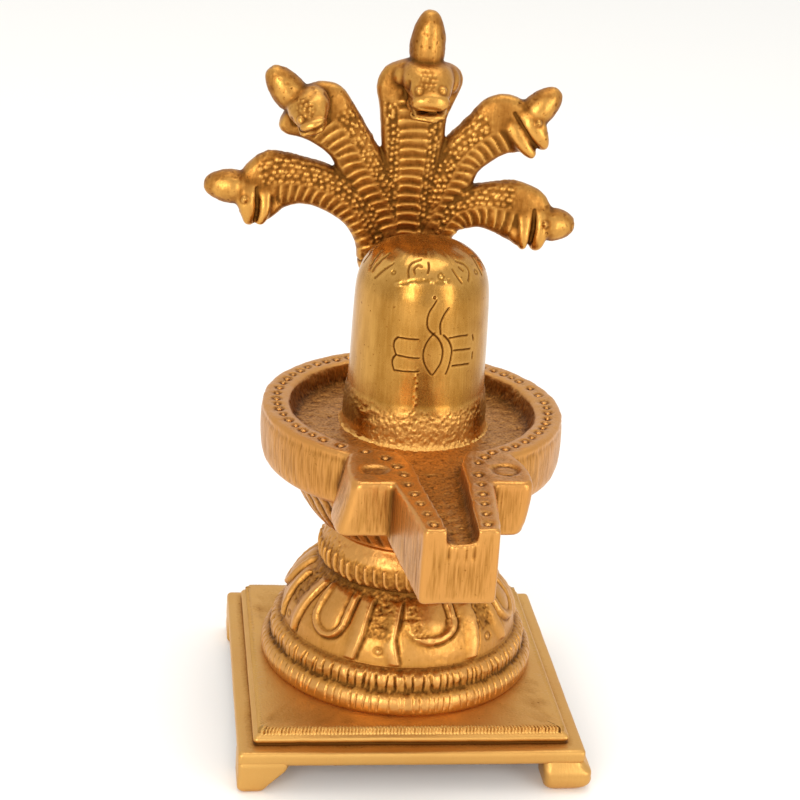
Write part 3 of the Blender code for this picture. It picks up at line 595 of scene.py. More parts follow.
def buildLingam():
    smoothRun = curveThrough(lingam["profile"], 1600)
    length = np.concatenate([[0], np.cumsum(np.linalg.norm(np.diff(smoothRun, axis=0), axis=1))])
    zNear, zFar = (np.interp(v, smoothRun[:, 1], length) for v in (86.0, 106.0))
    steps = crowded(0, length[-1], lingam["rows"], zNear, zFar, 1.1)
    profile = np.stack([np.interp(steps, length, smoothRun[:, k]) for k in (0, 1)], axis=1)
    azimuth = np.radians(crowded(-180, 180, lingam["columns"] + 1, -45, 60, 1.9)[:-1])[None, :]
    r, z = profile[:, :1], profile[:, 1:]
    place = turnedPlace(azimuth, r, z)
    lines = lineField(place, profile, lingam["engraved"], lingam["lineWidth"])
    petalLines = lineField(place, profile, lingam["shoulder"], 0.62)
    height = -lingam["lineDepth"] * lines - 0.26 * petalLines
    lines = np.maximum(lines, 0.45 * petalLines)
    # collar: left granular as it came from the mould, brightest at its foot
    collar = 1 - ease(77.2, 81.2, z + 1.6 * np.cos(azimuth) - 0.6 + 0.9 * rough(place, 2.2, 80, 2))
    foot = 1 - ease(71.4, 73.4, z)
    height += collar * ((0.14 + 0.06 * foot) * rough(place, 0.60, 81) - 0.08 * pits(place, 0.6, 82, 0.3))
    # a faint mould seam up the front, with beads of metal left on it
    off = between(azimuth, math.radians(-8.2)) * r + 0.22 * grain(place, 1.4, 87)
    seam = np.exp(-(off / 0.34) ** 2) * ease(78, 79.5, z) * (1 - ease(88, 90.0, z))
    height += seam * 0.20 * np.clip(0.25 + 1.1 * grain(place, 0.62, 83), 0, 1.2)
    # a line of rough beads below the petals, and round punches between them
    order = np.argsort(profile[:, 1])
    beads = lineField(place, profile, [lingam["beaded"]], 1.5)
    height += 0.24 * beads * np.clip(grain(place, 0.75, 85), -0.3, 0.8)
    for turn, tall, size in lingam["punches"]:
        across = np.interp(tall, profile[order, 1], profile[order, 0])
        spot = np.array([across * math.sin(math.radians(turn)), -across * math.cos(math.radians(turn)), tall])
        distance = np.linalg.norm(place - spot, axis=-1)
        height -= 0.20 * np.exp(-((distance - size) / 0.20) ** 2) * (distance < 2)
    pit = np.hypot(between(azimuth, math.radians(2.7)) * r, z - 104.9)
    height -= 0.40 * (1 - ease(0.10, 0.48, pit))
    # hand filing leaves slow flats
    flats = np.stack([azimuth * 15 + 0 * z, 0.35 * z + 0 * azimuth, 0 * (azimuth + z)], axis=-1)
    height += 0.05 * rough(flats, 4.5, 86) * (1 - collar)
    points = turnedPoints(profile, azimuth, height)
    points[..., 0] += lingam["centreX"]
    points[..., 2] = np.minimum(points[..., 2], 113.0)
    shell = Shell()
    first, last = shell.grid(points)
    shell.cap(first, (lingam["centreX"], 0, 70.9), -1)
    shell.cap(last, (lingam["centreX"], 0, 113.0), 1)
    # 1 is filed smooth; on the granular collar it goes above 1 in front, a painted highlight where it catches the
    # light, and below 1 at its sides, painted shade
    filed = (1 + (0.38 - 0.75 * ease(0.55, 1.3, np.abs(azimuth))) * collar) * (1 - 0.9 * lines) * np.ones_like(height)
    filed = np.concatenate([filed.ravel(), [0.5, 1.0]])
    return addMesh("lingam", *shell.everything()), filed


# yoni dish: bowl, round dish with its well, spout and two lugs, with pearls along the rim

dish = {
    "voxel": 0.44, "sides": 144,
    "profile": [(16.2, 46.6), (17.0, 46.8), (18.6, 47.8), (20.1, 49.2), (21.9, 51.3), (23.6, 53.8), (25.2, 57.0), (26.8, 60.0),
                (28.4, 61.8), (30.4, 62.2), (31.8, 62.4), (32.7, 63.2), (33.2, 65.0), (33.45, 68.0), (33.5, 71.0), (33.4, 72.6),
                (33.15, 73.4), (33.3, 74.1), (33.2, 74.8), (32.7, 75.2), (31.0, 75.25), (29.0, 75.2), (27.9, 75.1),
                (27.3, 74.7), (26.9, 73.6), (26.4, 72.2), (25.9, 71.2), (24.9, 70.85), (20.0, 70.8), (14.0, 70.8)],
    "reeds": 46, "reedDepth": 0.55,
    "spoutSwing": math.radians(1.9), "lugReach": 42.9,
    "pearl": 0.62, "seedPearl": 0.46,
    # pearls on the rim: (azimuth, size), and along the walls of the spout: (x, y, size)
    "rimPearls": [(-150.9, 1), (-145.1, 0), (-139.7, 1), (-133.5, 0), (-128.2, 1), (-122.0, 0), (-116.4, 1), (-111.3, 0),
                  (-105.2, 1), (-98.8, 0), (-92.7, 1), (-86.9, 0), (-81.7, 1), (-75.4, 0), (-69.1, 1), (-63.0, 0), (-57.5, 1),
                  (-51.7, 0), (-45.5, 1), (-36.8, 1), (-25.9, 1), (27.0, 1), (34.1, 1), (40.1, 0), (46.4, 1), (52.0, 0),
                  (58.5, 1), (64.1, 0), (69.6, 1), (75.2, 0), (81.2, 1), (87.0, 0), (92.8, 1), (101.0, 1), (109.4, 0),
                  (118.2, 1), (123.2, 0), (128.0, 1), (134.0, 0), (140.2, 1), (146.0, 0), (152.5, 1), (158.6, 0), (165.0, 1),
                  (171.2, 0), (177.6, 1), (183.8, 0), (190.2, 1), (196.4, 0), (202.8, 1)],
    "spoutPearls": [(-9.3, -30.3, 1), (-7.4, -34.8, 1), (11.7, -29.2, 1), (9.9, -32.1, 0)],
    # stations out along the spout and its channel: (reach, half width, underside or floor)
    "spout": [(26.5, 10.6, 61.5), (34.0, 10.6, 61.5), (41.6, 10.6, 61.4), (48.0, 9.75, 60.6), (56.0, 8.65, 59.8),
              (62.0, 7.85, 59.2), (63.9, 7.6, 59.1), (64.4, 7.35, 59.3), (64.5, 6.9, 59.8)],
    "channel": [(24.6, 9.2, 70.9), (27.0, 7.4, 70.95), (29.4, 6.3, 71.0), (33.0, 5.2, 71.1), (38.0, 4.95, 71.3),
                (43.0, 4.75, 71.4), (50.0, 4.1, 71.6), (58.0, 3.4, 71.75), (66.0, 2.85, 71.9)],
    # the block of the two lugs leans: its left side spreads towards the bottom and its right side draws in
    # (z, reach to the left, reach to the right, how far the edge is rounded back)
    "lugs": [(63.2, 21.4, 16.9, 0.6), (63.6, 21.6, 17.1, 0.15), (66.0, 20.9, 17.8, 0.0), (69.0, 20.1, 18.3, 0.0),
             (72.0, 19.4, 18.6, 0.0), (74.2, 19.0, 18.7, 0.0), (74.9, 18.9, 18.7, 0.25), (75.25, 18.8, 18.6, 0.75)],
}


def spoutPlace(x, reach, z):
    cosine, sine = math.cos(dish["spoutSwing"]), math.sin(dish["spoutSwing"])
    x, reach, z = np.broadcast_arrays(np.asarray(x, float), reach, z)
    return np.stack([x * cosine + reach * sine, x * sine - reach * cosine, z], axis=-1)


def roundedRing(halfWidth, low, high, reach, radius, perSide):
    # a rectangle across the spout with rounded edges
    ring = []
    for cx, cz, start in ((halfWidth - radius, low + radius, -90), (halfWidth - radius, high - radius, 0),
                          (-halfWidth + radius, high - radius, 90), (-halfWidth + radius, low + radius, 180)):
        for turn in np.radians(np.linspace(start, start + 90, perSide)):
            ring.append((cx + radius * math.cos(turn), cz + radius * math.sin(turn)))
    ring = np.array(ring)
    return spoutPlace(ring[:, 0], reach, ring[:, 1])


def buildDish():
    body = Shell()
    profile = curveThrough(dish["profile"], 150)
    body.closed(turnedPoints(profile, turns(dish["sides"])))
    spout = Shell()
    spout.closed(np.array([roundedRing(half, low, 75.25 - 0.1 * (reach > 64), reach, 0.7, 6) for reach, half,
                           low in dish["spout"]]))
    lugs = Shell()
    rows = []
    for z, left, right, tuck in dish["lugs"]:
        left, right, front = left - 0.5 * tuck, right - 0.5 * tuck, dish["lugReach"] - tuck
        ring = np.array([
            (-left + 1.0, 28.0), (-left - 0.2, 34.0), (-left - 0.1, front - 3.2), (-left + 0.25, front - 1.2),
            (-left + 0.8, front - 0.35), (-left + 1.7, front), (right - 1.4, front), (right - 0.4, front - 0.35),
            (right, front - 1.2), (right + 0.2, front - 4.0), (right - 0.2, 33.0), (right - 2.0, 28.0), (6.0, 28.0),
            (-6.0, 28.0)])
        rows.append(spoutPlace(ring[:, 0], ring[:, 1], z))
    lugs.closed(np.array([evenSteps(np.vstack([row, row[:1]]), 73)[:-1] for row in rows]))
    everything = Shell()
    for part in (body, spout, lugs):
        points, faces = part.everything()
        everything.faces += [[i + everything.count for i in face] for face in faces]
        everything.points.append(points)
        everything.count += len(points)
    piece = addMesh("yoniDish", *everything.everything())

    channel = Shell()
    rows = []
    for reach, half, floor in dish["channel"]:
        ring = np.array([(-half, 78.0), (-half, floor + 1.2), (-half + 0.35, floor + 0.35), (-half + 1.1, floor),
                         (half - 1.1, floor), (half - 0.35, floor + 0.35), (half, floor + 1.2), (half, 78.0)])
        rows.append(spoutPlace(ring[:, 0], reach, ring[:, 1]))
    channel.closed(np.array(rows))
    tool = addMesh("channelCutter", *channel.everything())
    cut = piece.modifiers.new("channel", "BOOLEAN")
    cut.operation, cut.solver, cut.use_self, cut.object = "DIFFERENCE", "EXACT", True, tool
    skin = piece.modifiers.new("skin", "REMESH")
    skin.mode, skin.voxel_size, skin.use_smooth_shade = "VOXEL", dish["voxel"] / 1000, True
    applyModifiers(piece)
    bpy.data.objects.remove(tool)

    ends, count = neighbours(piece)
    points = averaged(readPoints(piece), ends, count, 2, 0.5)
    writePoints(piece, points)
    normals = readNormals(piece)
    x, y, z = points.T
    r, azimuth = np.hypot(x, y), np.arctan2(x, -y)
    height, filed = np.zeros(len(points)), np.full(len(points), 0.8)
    # reeds round the bowl, leaning as they rise
    phase = (azimuth + math.pi) / (2 * math.pi) * dish["reeds"] + 0.05 * (z - 54)
    onBowl = ease(48.0, 49.5, z) * (1 - ease(59.4, 61.0, z)) * (r < 30)
    reed = bump(phase - np.floor(phase) - 0.5, 0.95)
    height += onBowl * dish["reedDepth"] * (reed - 0.6)
    filed = np.where(onBowl > 0.5, 0.5 * reed, filed)
    onWell = (r < 27.2) & (z < 74.5) & (z > 70) & (normals[:, 2] > 0.3)
    onChannel = (np.abs(z - 71.5) < 0.6) & (normals[:, 2] > 0.5) & (y < -24)
    floorNoise = 0.10 * rough(points, 1.3, 91) - 0.16 * pits(points, 0.9, 92, 0.35)
    height += (onWell | onChannel) * floorNoise
    filed = np.where(onWell, 0.62, np.where(onChannel, 0.55, filed))
    filed = np.where((r < 27.4) & (z < 74.9) & (z > 70.2) & (y > -27), 0.55, filed)
    # punched circles on the floor of the well and of the channel
    circles = [(23.0 * math.sin(a), -23.0 * math.cos(a)) for a in np.radians(np.arange(-160, 200, 11.0))]
    circles += [tuple(spoutPlace(side * 1.5, reach, 0)[:2]) for k, reach in enumerate(np.arange(30.0, 63.0, 2.6))
                for side in (-1, 1) if (k + side) % 3]
    for cx, cy in circles:
        near = (np.abs(x - cx) < 1.6) & (np.abs(y - cy) < 1.6) & (onWell | onChannel)
        distance = np.hypot(x[near] - cx, y[near] - cy)
        height[near] -= 0.17 * np.exp(-((distance - 0.72) / 0.24) ** 2)
        filed[near] += 0.5 * np.exp(-(distance / 0.45) ** 2)
    # dents in the lugs: a shallow oval one on the left, a ring on the right
    onTop = (normals[:, 2] > 0.6) & (z > 74.2)
    left = np.hypot((x + 12.2) / 3.4, (y + 36.3) / 2.6)
    right = np.hypot((x - 15.1) / 3.0, (y + 35.8) / 2.8)
    height -= onTop * 0.55 * (1 - ease(0.55, 1.05, left))
    height -= onTop * (0.42 * np.exp(-((right - 0.86) / 0.16) ** 2) + 0.25 * (1 - ease(0.6, 0.95, right)))
    wall = (np.abs(normals[:, 2]) < 0.5) & (z < 74)
    height += wall * 0.05 * rough(np.stack([x, y, 0.12 * z], axis=1), 1.1, 93)
    height += 0.05 * rough(points, 5.0, 94, 2)
    # saw marks run down the end of the spout below the channel
    endPlace = spoutPlace(0.0, 67.0, 0.0)
    below = ((normals[:, 1] < -0.6) & (y < -44)) * ease(68.0, 69.6, z)
    for off, deep in ((-2.5, 0.42), (-0.7, 0.22), (0.9, 0.26), (2.5, 0.42)):
        height -= below * deep * np.exp(-((x - endPlace[0] - off) / 0.42) ** 2)
    # uneven upper edges, worn by the file
    height += 0.09 * rough(points, 2.4, 95) * (z > 74.0)
    for cx, cy, size in pearlPlaces():
        radius = dish["pearl"] if size else dish["seedPearl"]
        near = (np.abs(x - cx) < 2.4) & (np.abs(y - cy) < 2.4) & onTop
        distance = np.hypot(x[near] - cx, y[near] - cy)
        height[near] -= 0.34 * np.exp(-((distance - radius - 0.18) / 0.32) ** 2)
        filed[near] -= 0.8 * np.exp(-((distance - radius - 0.20) / 0.36) ** 2)
    points = points + normals * height[:, None]
    writePoints(piece, points)
    markSurface(piece, np.clip(filed, 0, 1))
    addPearls(piece)
    return piece


def pearlPlaces():
    places = [(30.1 * math.sin(math.radians(a)), -30.1 * math.cos(math.radians(a)), size) for a, size in dish["rimPearls"]]
    places += dish["spoutPearls"]
    for side in (-1, 1):
        for k, reach in enumerate(np.linspace(38.6, 61.6, 6)):
            half = np.interp(reach, [34, 42, 64.5], [7.9, 7.6, 4.95])
            x, y, _ = spoutPlace(side * half, reach, 0)
            places.append((float(x), float(y), k in (0, 2, 5)))
    return places


def addPearls(piece):
    shell = Shell()
    for k, (cx, cy, size) in enumerate(pearlPlaces()):
        radius = dish["pearl"] if size else dish["seedPearl"]
        turn = np.linspace(0, 2 * math.pi, 14, endpoint=False)[None, :]
        lift = np.array([-0.35, -0.10, 0.02, 0.12, 0.20, 0.23])[:, None]
        wide = np.array([1.0, 1.02, 0.92, 0.72, 0.44, 0.16])[:, None] * radius
        uneven = 1 + 0.06 * np.sin(turn * 2 + k)
        rows = np.stack([cx + wide * uneven * np.cos(turn), cy + wide * uneven * np.sin(turn), 75.15 + lift + 0 * turn], axis=-1)
        shell.closed(rows)
    appendMesh(piece, shell)


def appendMesh(piece, shell):
    # adds more closed shapes to a finished piece, keeping its surface marks
    extra = addMesh("extra", *shell.everything())
    markSurface(extra, np.ones(shell.count))
    with bpy.context.temp_override(active_object=piece, object=piece, selected_objects=[piece, extra],
                                   selected_editable_objects=[piece, extra]):
        bpy.ops.object.join()


# naga: one trunk that parts into five crested cobras

naga = {
    "voxel": 0.34, "floor": 71.1,
    # each hood lies between two edges, given from its root to its head as (x, z) in the plane of the fan
    "hoods": {
        "lowerLeft": {"upper": [(-2, 106), (-8, 114), (-13.5, 120.4), (-18, 123.7), (-22.8, 125.5), (-29.3, 127.0),
                                (-32.7, 127.4), (-35.8, 126.0), (-38.8, 122.9), (-40.6, 120.4)],
                      "lower": [(-9.5, 97.5), (-11.6, 100.6), (-12.9, 106.4), (-15.1, 110.3), (-18.6, 113.2), (-23.0, 115.2),
                                (-26.4, 115.5), (-30.2, 114.4), (-33.4, 114.2), (-37.8, 116.6)]},
        "upperLeft": {"upper": [(1, 112), (-3.2, 120), (-8.8, 128.6), (-12.4, 134.4), (-16.1, 140.1), (-18.2, 142.3),
                                (-21.4, 143.1), (-24.2, 142.6), (-26.6, 141.4)],
                      "lower": [(-9.5, 108), (-13.2, 114.5), (-17.7, 122.8), (-19.4, 126.2), (-22.2, 128.6), (-26.2, 130.5),
                                (-29.6, 131.2), (-31.2, 133.0), (-30.4, 135.4)]},
        "lowerRight": {"upper": [(1.5, 108), (6.4, 116), (9.8, 119.6), (13.4, 121.1), (17.6, 121.9), (21.5, 122.3),
                                 (25.0, 121.5), (28.6, 119.6), (30.6, 116.6)],
                       "lower": [(7.2, 99), (7.8, 105.4), (9.9, 109.9), (12.5, 110.9), (14.8, 111.3), (18.2, 110.1),
                                 (21.2, 108.6), (24.6, 107.8), (28.6, 108.6)]},
        "upperRight": {"upper": [(-2.5, 112), (1.6, 121), (5.6, 130.8), (8.0, 133.9), (10.5, 136.7), (13.6, 140.3),
                                 (17.4, 141.7), (20.6, 141.2), (22.6, 140.2)],
                       "lower": [(8.8, 110), (11.2, 117), (12.7, 121.5), (13.6, 124.0), (16.0, 126.3), (19.0, 128.3),
                                 (22.4, 129.0), (25.4, 131.2), (26.8, 134.6)]},
        "centre": {"upper": [(-7.2, 106), (-7.4, 116), (-7.6, 124), (-8.6, 130.7), (-9.2, 135.9), (-9.8, 139.8), (-10.4, 142.4),
                             (-8.8, 146.6), (-4.2, 148.6)],
                   "lower": [(4.2, 106), (4.0, 116), (4.5, 124), (5.4, 131.0), (5.5, 135.6), (6.9, 139.4), (8.6, 144.4),
                             (7.0, 147.3), (3.9, 148.3)]},
    },
    # half depth and middle of a hood, at its root and at its head
    "hoodDepth": {"root": 3.5, "head": 2.7, "rootY": 19.3, "headY": 16.6},
    # crests: middle of the base, tip, radius
    "crests": {
        "centre": ((0.0, 147.6), (0.5, 159.42), 4.05), "upperLeft": ((-26.9, 138.0), (-33.6, 145.6), 3.9),
        "lowerLeft": ((-38.2, 119.0), (-46.9, 119.6), 3.85),
        "upperRight": ((23.6, 136.6), (29.9, 143.0), 3.7), "lowerRight": ((28.6, 112.5), (36.2, 112.7), 3.9),
    },
    # trunk from the dish up: (x, z, y, half width, half depth)
    "trunk": [(0.0, 71.1, 20.6, 6.3, 4.0), (0.0, 79.0, 20.8, 6.0, 4.2), (-0.2, 89.0, 20.6, 7.0, 4.2),
              (-1.2, 98.0, 20.2, 8.8, 4.2), (-1.8, 105.0, 19.8, 10.0, 4.0), (-2.0, 111.0, 19.6, 9.6, 3.8),
              (-1.8, 116.0, 19.4, 7.6, 3.2)],
    # side heads seen in profile, as (x, z, half height): upper jaw, then lower jaw
    "jaws": {
        "lowerLeft": ([(-37.6, 121.2, 3.0), (-37.8, 119.0, 2.75), (-37.8, 117.0, 2.45), (-37.3, 114.8, 2.1),
                       (-37.1, 112.9, 1.5), (-37.0, 111.6, 1.1), (-37.0, 111.0, 0.5)],
                      [(-33.8, 120.0, 1.7), (-33.6, 117.4, 1.5), (-33.6, 115.0, 1.45), (-34.1, 113.0, 1.25),
                       (-34.7, 111.7, 0.9), (-34.8, 111.2, 0.4)]),
        "upperRight": ([(22.3, 139.0, 2.3), (23.8, 136.7, 2.75), (25.3, 133.9, 2.6), (26.5, 132.0, 1.85), (27.0, 130.7, 1.3),
                        (27.1, 130.0, 0.6)],
                       [(18.8, 136.4, 1.8), (20.3, 134.2, 1.75), (22.4, 131.3, 1.7), (24.0, 129.6, 1.35), (25.0, 128.9, 1.0),
                        (25.4, 128.7, 0.5)]),
        "lowerRight": ([(28.3, 116.4, 1.8), (28.6, 113.8, 2.15), (28.3, 111.3, 2.05), (27.6, 109.0, 1.7), (27.2, 107.6, 1.25),
                        (27.0, 106.8, 0.6)],
                       [(24.3, 116.2, 1.9), (24.4, 113.2, 1.7), (24.3, 110.8, 1.6), (24.3, 108.9, 1.25), (24.3, 107.7, 0.9),
                        (24.3, 107.0, 0.4)]),
    },
    # the throat swells out to meet the lower jaw
    "throats": [
        [(-29.0, 18.0, 118.0, 2.4, 2.0), (-31.2, 16.5, 116.0, 2.6, 2.3), (-32.8, 15.6, 114.0, 2.4, 1.7),
         (-33.9, 15.2, 112.6, 1.8, 1.0)],
        [(17.2, 18.0, 135.6, 2.4, 2.4), (19.3, 16.4, 133.8, 2.7, 2.6), (21.8, 15.6, 131.4, 2.6, 2.0),
         (23.8, 15.2, 129.6, 2.0, 1.1)],
        [(19.8, 18.0, 114.0, 2.4, 2.2), (21.6, 16.4, 112.0, 2.7, 2.4), (22.8, 15.6, 110.0, 2.5, 1.9),
         (23.7, 15.2, 108.2, 1.9, 1.0)]],
    "eyes": [(-2.3, 7.2, 143.9), (3.0, 7.2, 144.1), (-27.2, 8.0, 136.4), (-24.9, 8.7, 138.3), (-38.3, 12.0, 117.4),
             (25.2, 12.0, 136.5), (28.9, 12.0, 113.6)],
    # mouths and the crevices beside the heads, cut into the front: (points as (x, z), depth, width)
    "grooves": [
        ([(-35.5, 119.6), (-35.3, 117.0), (-35.3, 114.9), (-35.7, 112.3)], 0.55, 0.30),
        ([(20.0, 138.1), (21.8, 135.5), (24.1, 132.3), (25.9, 130.4)], 0.55, 0.30),
        ([(26.4, 116.3), (26.3, 112.2), (25.7, 108.0)], 0.55, 0.30),
        ([(-3.4, 139.9), (-1.0, 139.5), (1.2, 139.3), (4.2, 139.8)], 0.5, 0.30),
        ([(-27.6, 133.6), (-26.0, 134.0), (-24.3, 134.7), (-21.9, 136.1)], 0.5, 0.30),
        ([(-4.2, 145.2), (-4.5, 142.6), (-4.1, 140.4), (-3.2, 138.4)], 0.4, 0.34),
        ([(-28.9, 136.2), (-28.3, 133.7)], 0.25, 0.30),
        ([(-21.8, 141.4), (-20.6, 139.7), (-20.9, 137.0)], 0.25, 0.30),
    ],
}


def ovalRows(centres, wideAxis, deepAxis, wide, deep, sides=20, squareness=2.3):
    turn = np.linspace(0, 2 * math.pi, sides, endpoint=False)
    cosine = np.sign(np.cos(turn)) * np.abs(np.cos(turn)) ** (2 / squareness)
    sine = np.sign(np.sin(turn)) * np.abs(np.sin(turn)) ** (2 / squareness)
    sideways = wideAxis[:, None] * (wide[:, None] * cosine)[..., None]
    return centres[:, None] + sideways + deepAxis[:, None] * (deep[:, None] * sine)[..., None]


def addTube(shell, stations, wideAxis, count=14, sides=16, squareness=2.0):
    # stations are (x, y, z, half width, half height) along a smooth path
    run = curveThrough(np.array(stations, float), count)
    centres, wide, deep = run[:, :3], run[:, 3], run[:, 4]
    tangent = np.gradient(centres, axis=0)
    tangent /= np.linalg.norm(tangent, axis=1, keepdims=True)
    across = np.asarray(wideAxis, float) - tangent * (tangent @ np.asarray(wideAxis, float))[:, None]
    across /= np.linalg.norm(across, axis=1, keepdims=True)
    shell.closed(ovalRows(centres, across, np.cross(tangent, across), np.maximum(wide, 0.05), np.maximum(deep, 0.05), sides,
                          squareness))


def addBall(shell, centre, radii, sides=12):
    lift = np.radians(np.linspace(-78, 78, sides // 2 + 1))[:, None]
    turn = np.linspace(0, 2 * math.pi, sides, endpoint=False)[None, :]
    rows = np.stack([centre[0] + radii[0] * np.cos(lift) * np.cos(turn), centre[1] + radii[1] * np.cos(lift) * np.sin(turn),
                     centre[2] + radii[2] * np.sin(lift) + 0 * turn], axis=-1)
    shell.closed(rows)


def hoodRuns(name, count):
    upper, lower = (curveThrough(naga["hoods"][name][side], count) for side in ("upper", "lower"))
    return upper, lower


def buildNaga():
    shell = Shell()
    addTube(shell, [(x, y, z, w, d) for x, z, y, w, d in naga["trunk"]], (1, 0, 0), 30, 24, 2.4)
    depth = naga["hoodDepth"]
    for name in naga["hoods"]:
        upper, lower = hoodRuns(name, 30)
        share = np.linspace(0, 1, 30)
        y = depth["rootY"] + (depth["headY"] - depth["rootY"]) * ease(0, 0.7, share)
        deep = depth["root"] + (depth["head"] - depth["root"]) * share
        middle, half = (upper + lower) / 2, (lower - upper) / 2
        wide = np.linalg.norm(half, axis=1)
        across = np.stack([half[:, 0] / wide, 0 * wide, half[:, 1] / wide], axis=1)
        centres = np.stack([middle[:, 0], y, middle[:, 1]], axis=1)
        deepAxis = np.tile([[0.0, 1.0, 0.0]], (30, 1))
        flip = np.cross(across[15], deepAxis[15]) @ (centres[-1] - centres[0]) < 0
        rows = ovalRows(centres, across, -deepAxis if flip else deepAxis, wide, deep, 24, 2.6)
        shell.closed(rows)
    for name, (base, tip, radius) in naga["crests"].items():
        bx, bz, tx, tz = *base, *tip
        stations = []
        for share, size in ((0.0, 0.84), (0.12, 0.95), (0.30, 1.0), (0.5, 0.95), (0.68, 0.83), (0.83, 0.66), (0.93, 0.48),
                            (0.985, 0.30), (1.0, 0.10)):
            stations.append((bx + (tx - bx) * share, 16.1, bz + (tz - bz) * share, radius * size, radius * size * 0.98))
        addTube(shell, stations, (0, 1, 0), 22, 20)
    # centre head, which looks forward: brow and bill, then the lower jaw
    addTube(shell, [(-0.2, 18.4, 146.2, 4.2, 2.8), (0.1, 15.2, 145.9, 5.6, 3.6), (0.3, 12.2, 144.9, 5.6, 3.5),
                    (0.4, 9.6, 143.4, 4.8, 2.8), (0.4, 7.6, 142.1, 3.9, 2.0), (0.4, 6.6, 141.5, 3.2, 1.4)], (1, 0, 0), 24, 22,
                    2.3)
    addTube(shell, [(-3.5, 7.6, 140.9, 0.6, 0.6), (-2.9, 7.2, 141.0, 1.3, 1.4), (-1.2, 6.9, 141.4, 1.6, 1.9),
                    (0.6, 6.8, 141.6, 1.7, 2.1), (2.4, 6.9, 141.4, 1.6, 1.9), (3.7, 7.3, 141.2, 1.2, 1.4),
                    (4.2, 7.6, 141.1, 0.6, 0.6)], (0, 1, 0), 24, 18, 2.3)
    addTube(shell, [(0.0, 16.0, 140.8, 4.2, 2.6), (0.3, 12.0, 139.8, 4.4, 2.2), (0.5, 9.4, 138.8, 3.9, 1.4),
                    (0.6, 8.2, 138.4, 2.8, 0.7)], (1, 0, 0), 16, 18, 2.3)
    addTube(shell, [(-3.5, 9.0, 138.5, 0.5, 0.4), (-2.6, 8.2, 138.1, 1.1, 0.8), (0.6, 7.6, 137.9, 1.3, 1.0),
                    (3.2, 8.2, 138.2, 1.1, 0.8), (3.9, 9.2, 138.7, 0.5, 0.4)],
            (0, 1, 0), 20, 16)
    addBall(shell, (-5.0, 14.8, 145.3), (2.3, 2.4, 2.2), 18)
    addBall(shell, (5.6, 15.0, 144.6), (2.0, 2.4, 3.0), 18)
    # upper left head, which looks forward and is tilted
    addTube(shell, [(-25.5, 18.0, 139.2, 3.2, 2.6), (-25.3, 15.0, 138.9, 4.6, 3.3), (-25.1, 12.0, 138.1, 4.7, 3.1),
                    (-24.8, 9.8, 137.0, 3.9, 2.4), (-24.5, 8.0, 136.0, 3.0, 1.5), (-24.4, 7.0, 135.7, 2.4, 1.0)],
                    (0.92, 0, 0.38), 24, 22, 2.3)
    addTube(shell, [(-27.1, 7.6, 134.9, 0.6, 0.6), (-26.2, 7.2, 135.1, 1.3, 1.1), (-24.4, 7.0, 135.7, 1.6, 1.3),
                    (-22.8, 7.2, 136.4, 1.3, 1.0), (-22.0, 7.6, 136.7, 0.6, 0.5)],
            (0, 1, 0), 14, 16)
    addTube(shell, [(-24.2, 15.0, 136.2, 3.2, 2.4), (-24.3, 11.5, 135.0, 3.3, 1.8), (-24.4, 9.3, 133.8, 2.9, 1.0),
                    (-24.5, 8.3, 133.4, 2.4, 0.5)],
            (0.92, 0, 0.38), 16, 18, 2.4)
    # the throats swell out to meet the lower jaws of the side heads
    for throat in naga["throats"]:
        addTube(shell, throat, (0, 1, 0), 16, 18, 2.2)
    for top, chin in naga["jaws"].values():
        for row, thick, y in ((top, (1.3, 2.7, 3.3, 3.2, 2.9, 2.2, 1.1), 15.2), (chin, (1.2, 2.3, 2.8, 2.8, 2.4, 1.2), 15.1)):
            thick = np.interp(np.linspace(0, 1, len(row)), np.linspace(0, 1, len(thick)), thick)
            addTube(shell, [(x, y, z, t, w) for (x, z, w), t in zip(row, thick)], (0, 1, 0), 20, 20, 3.2)
    for x, y, z in naga["eyes"]:
        addBall(shell, (x, y + 0.3, z), (0.8, 0.9, 0.75))
    piece = addMesh("cobras", *shell.everything())
    skin = piece.modifiers.new("skin", "REMESH")
    skin.mode, skin.voxel_size, skin.use_smooth_shade = "VOXEL", naga["voxel"] / 1000, True
    applyModifiers(piece)
    ends, count = neighbours(piece)
    points = averaged(readPoints(piece), ends, count, 3, 0.6)
    writePoints(piece, points)
    normals = readNormals(piece)
    height, filed = scales(points, normals)
    points = points + normals * height[:, None]
    points[:, 2] = np.clip(points[:, 2], naga["floor"], 159.48)
    writePoints(piece, points)
    markSurface(piece, np.clip(filed, 0, 1))
    return piece


def nearestRun(x, z, run):
    # distance along a path, signed distance across it, and how far along it as a share
    best = np.full(len(x), 1e9)
    alongAt, acrossAt = np.zeros(len(x)), np.zeros(len(x))
    total = 0.0
    for (ax, az), (bx, bz) in zip(run, run[1:]):
        dx, dz = bx - ax, bz - az
        length = math.hypot(dx, dz)
        share = ((x - ax) * dx + (z - az) * dz) / length ** 2
        held = np.clip(share, 0, 1)
        distance = np.hypot(x - ax - held * dx, z - az - held * dz)
        closer = distance < best
        best = np.where(closer, distance, best)
        alongAt = np.where(closer, total + held * length, alongAt)
        acrossAt = np.where(closer, ((x - ax) * dz - (z - az) * dx) / length, acrossAt)
        total += length
    return alongAt, acrossAt, best, total


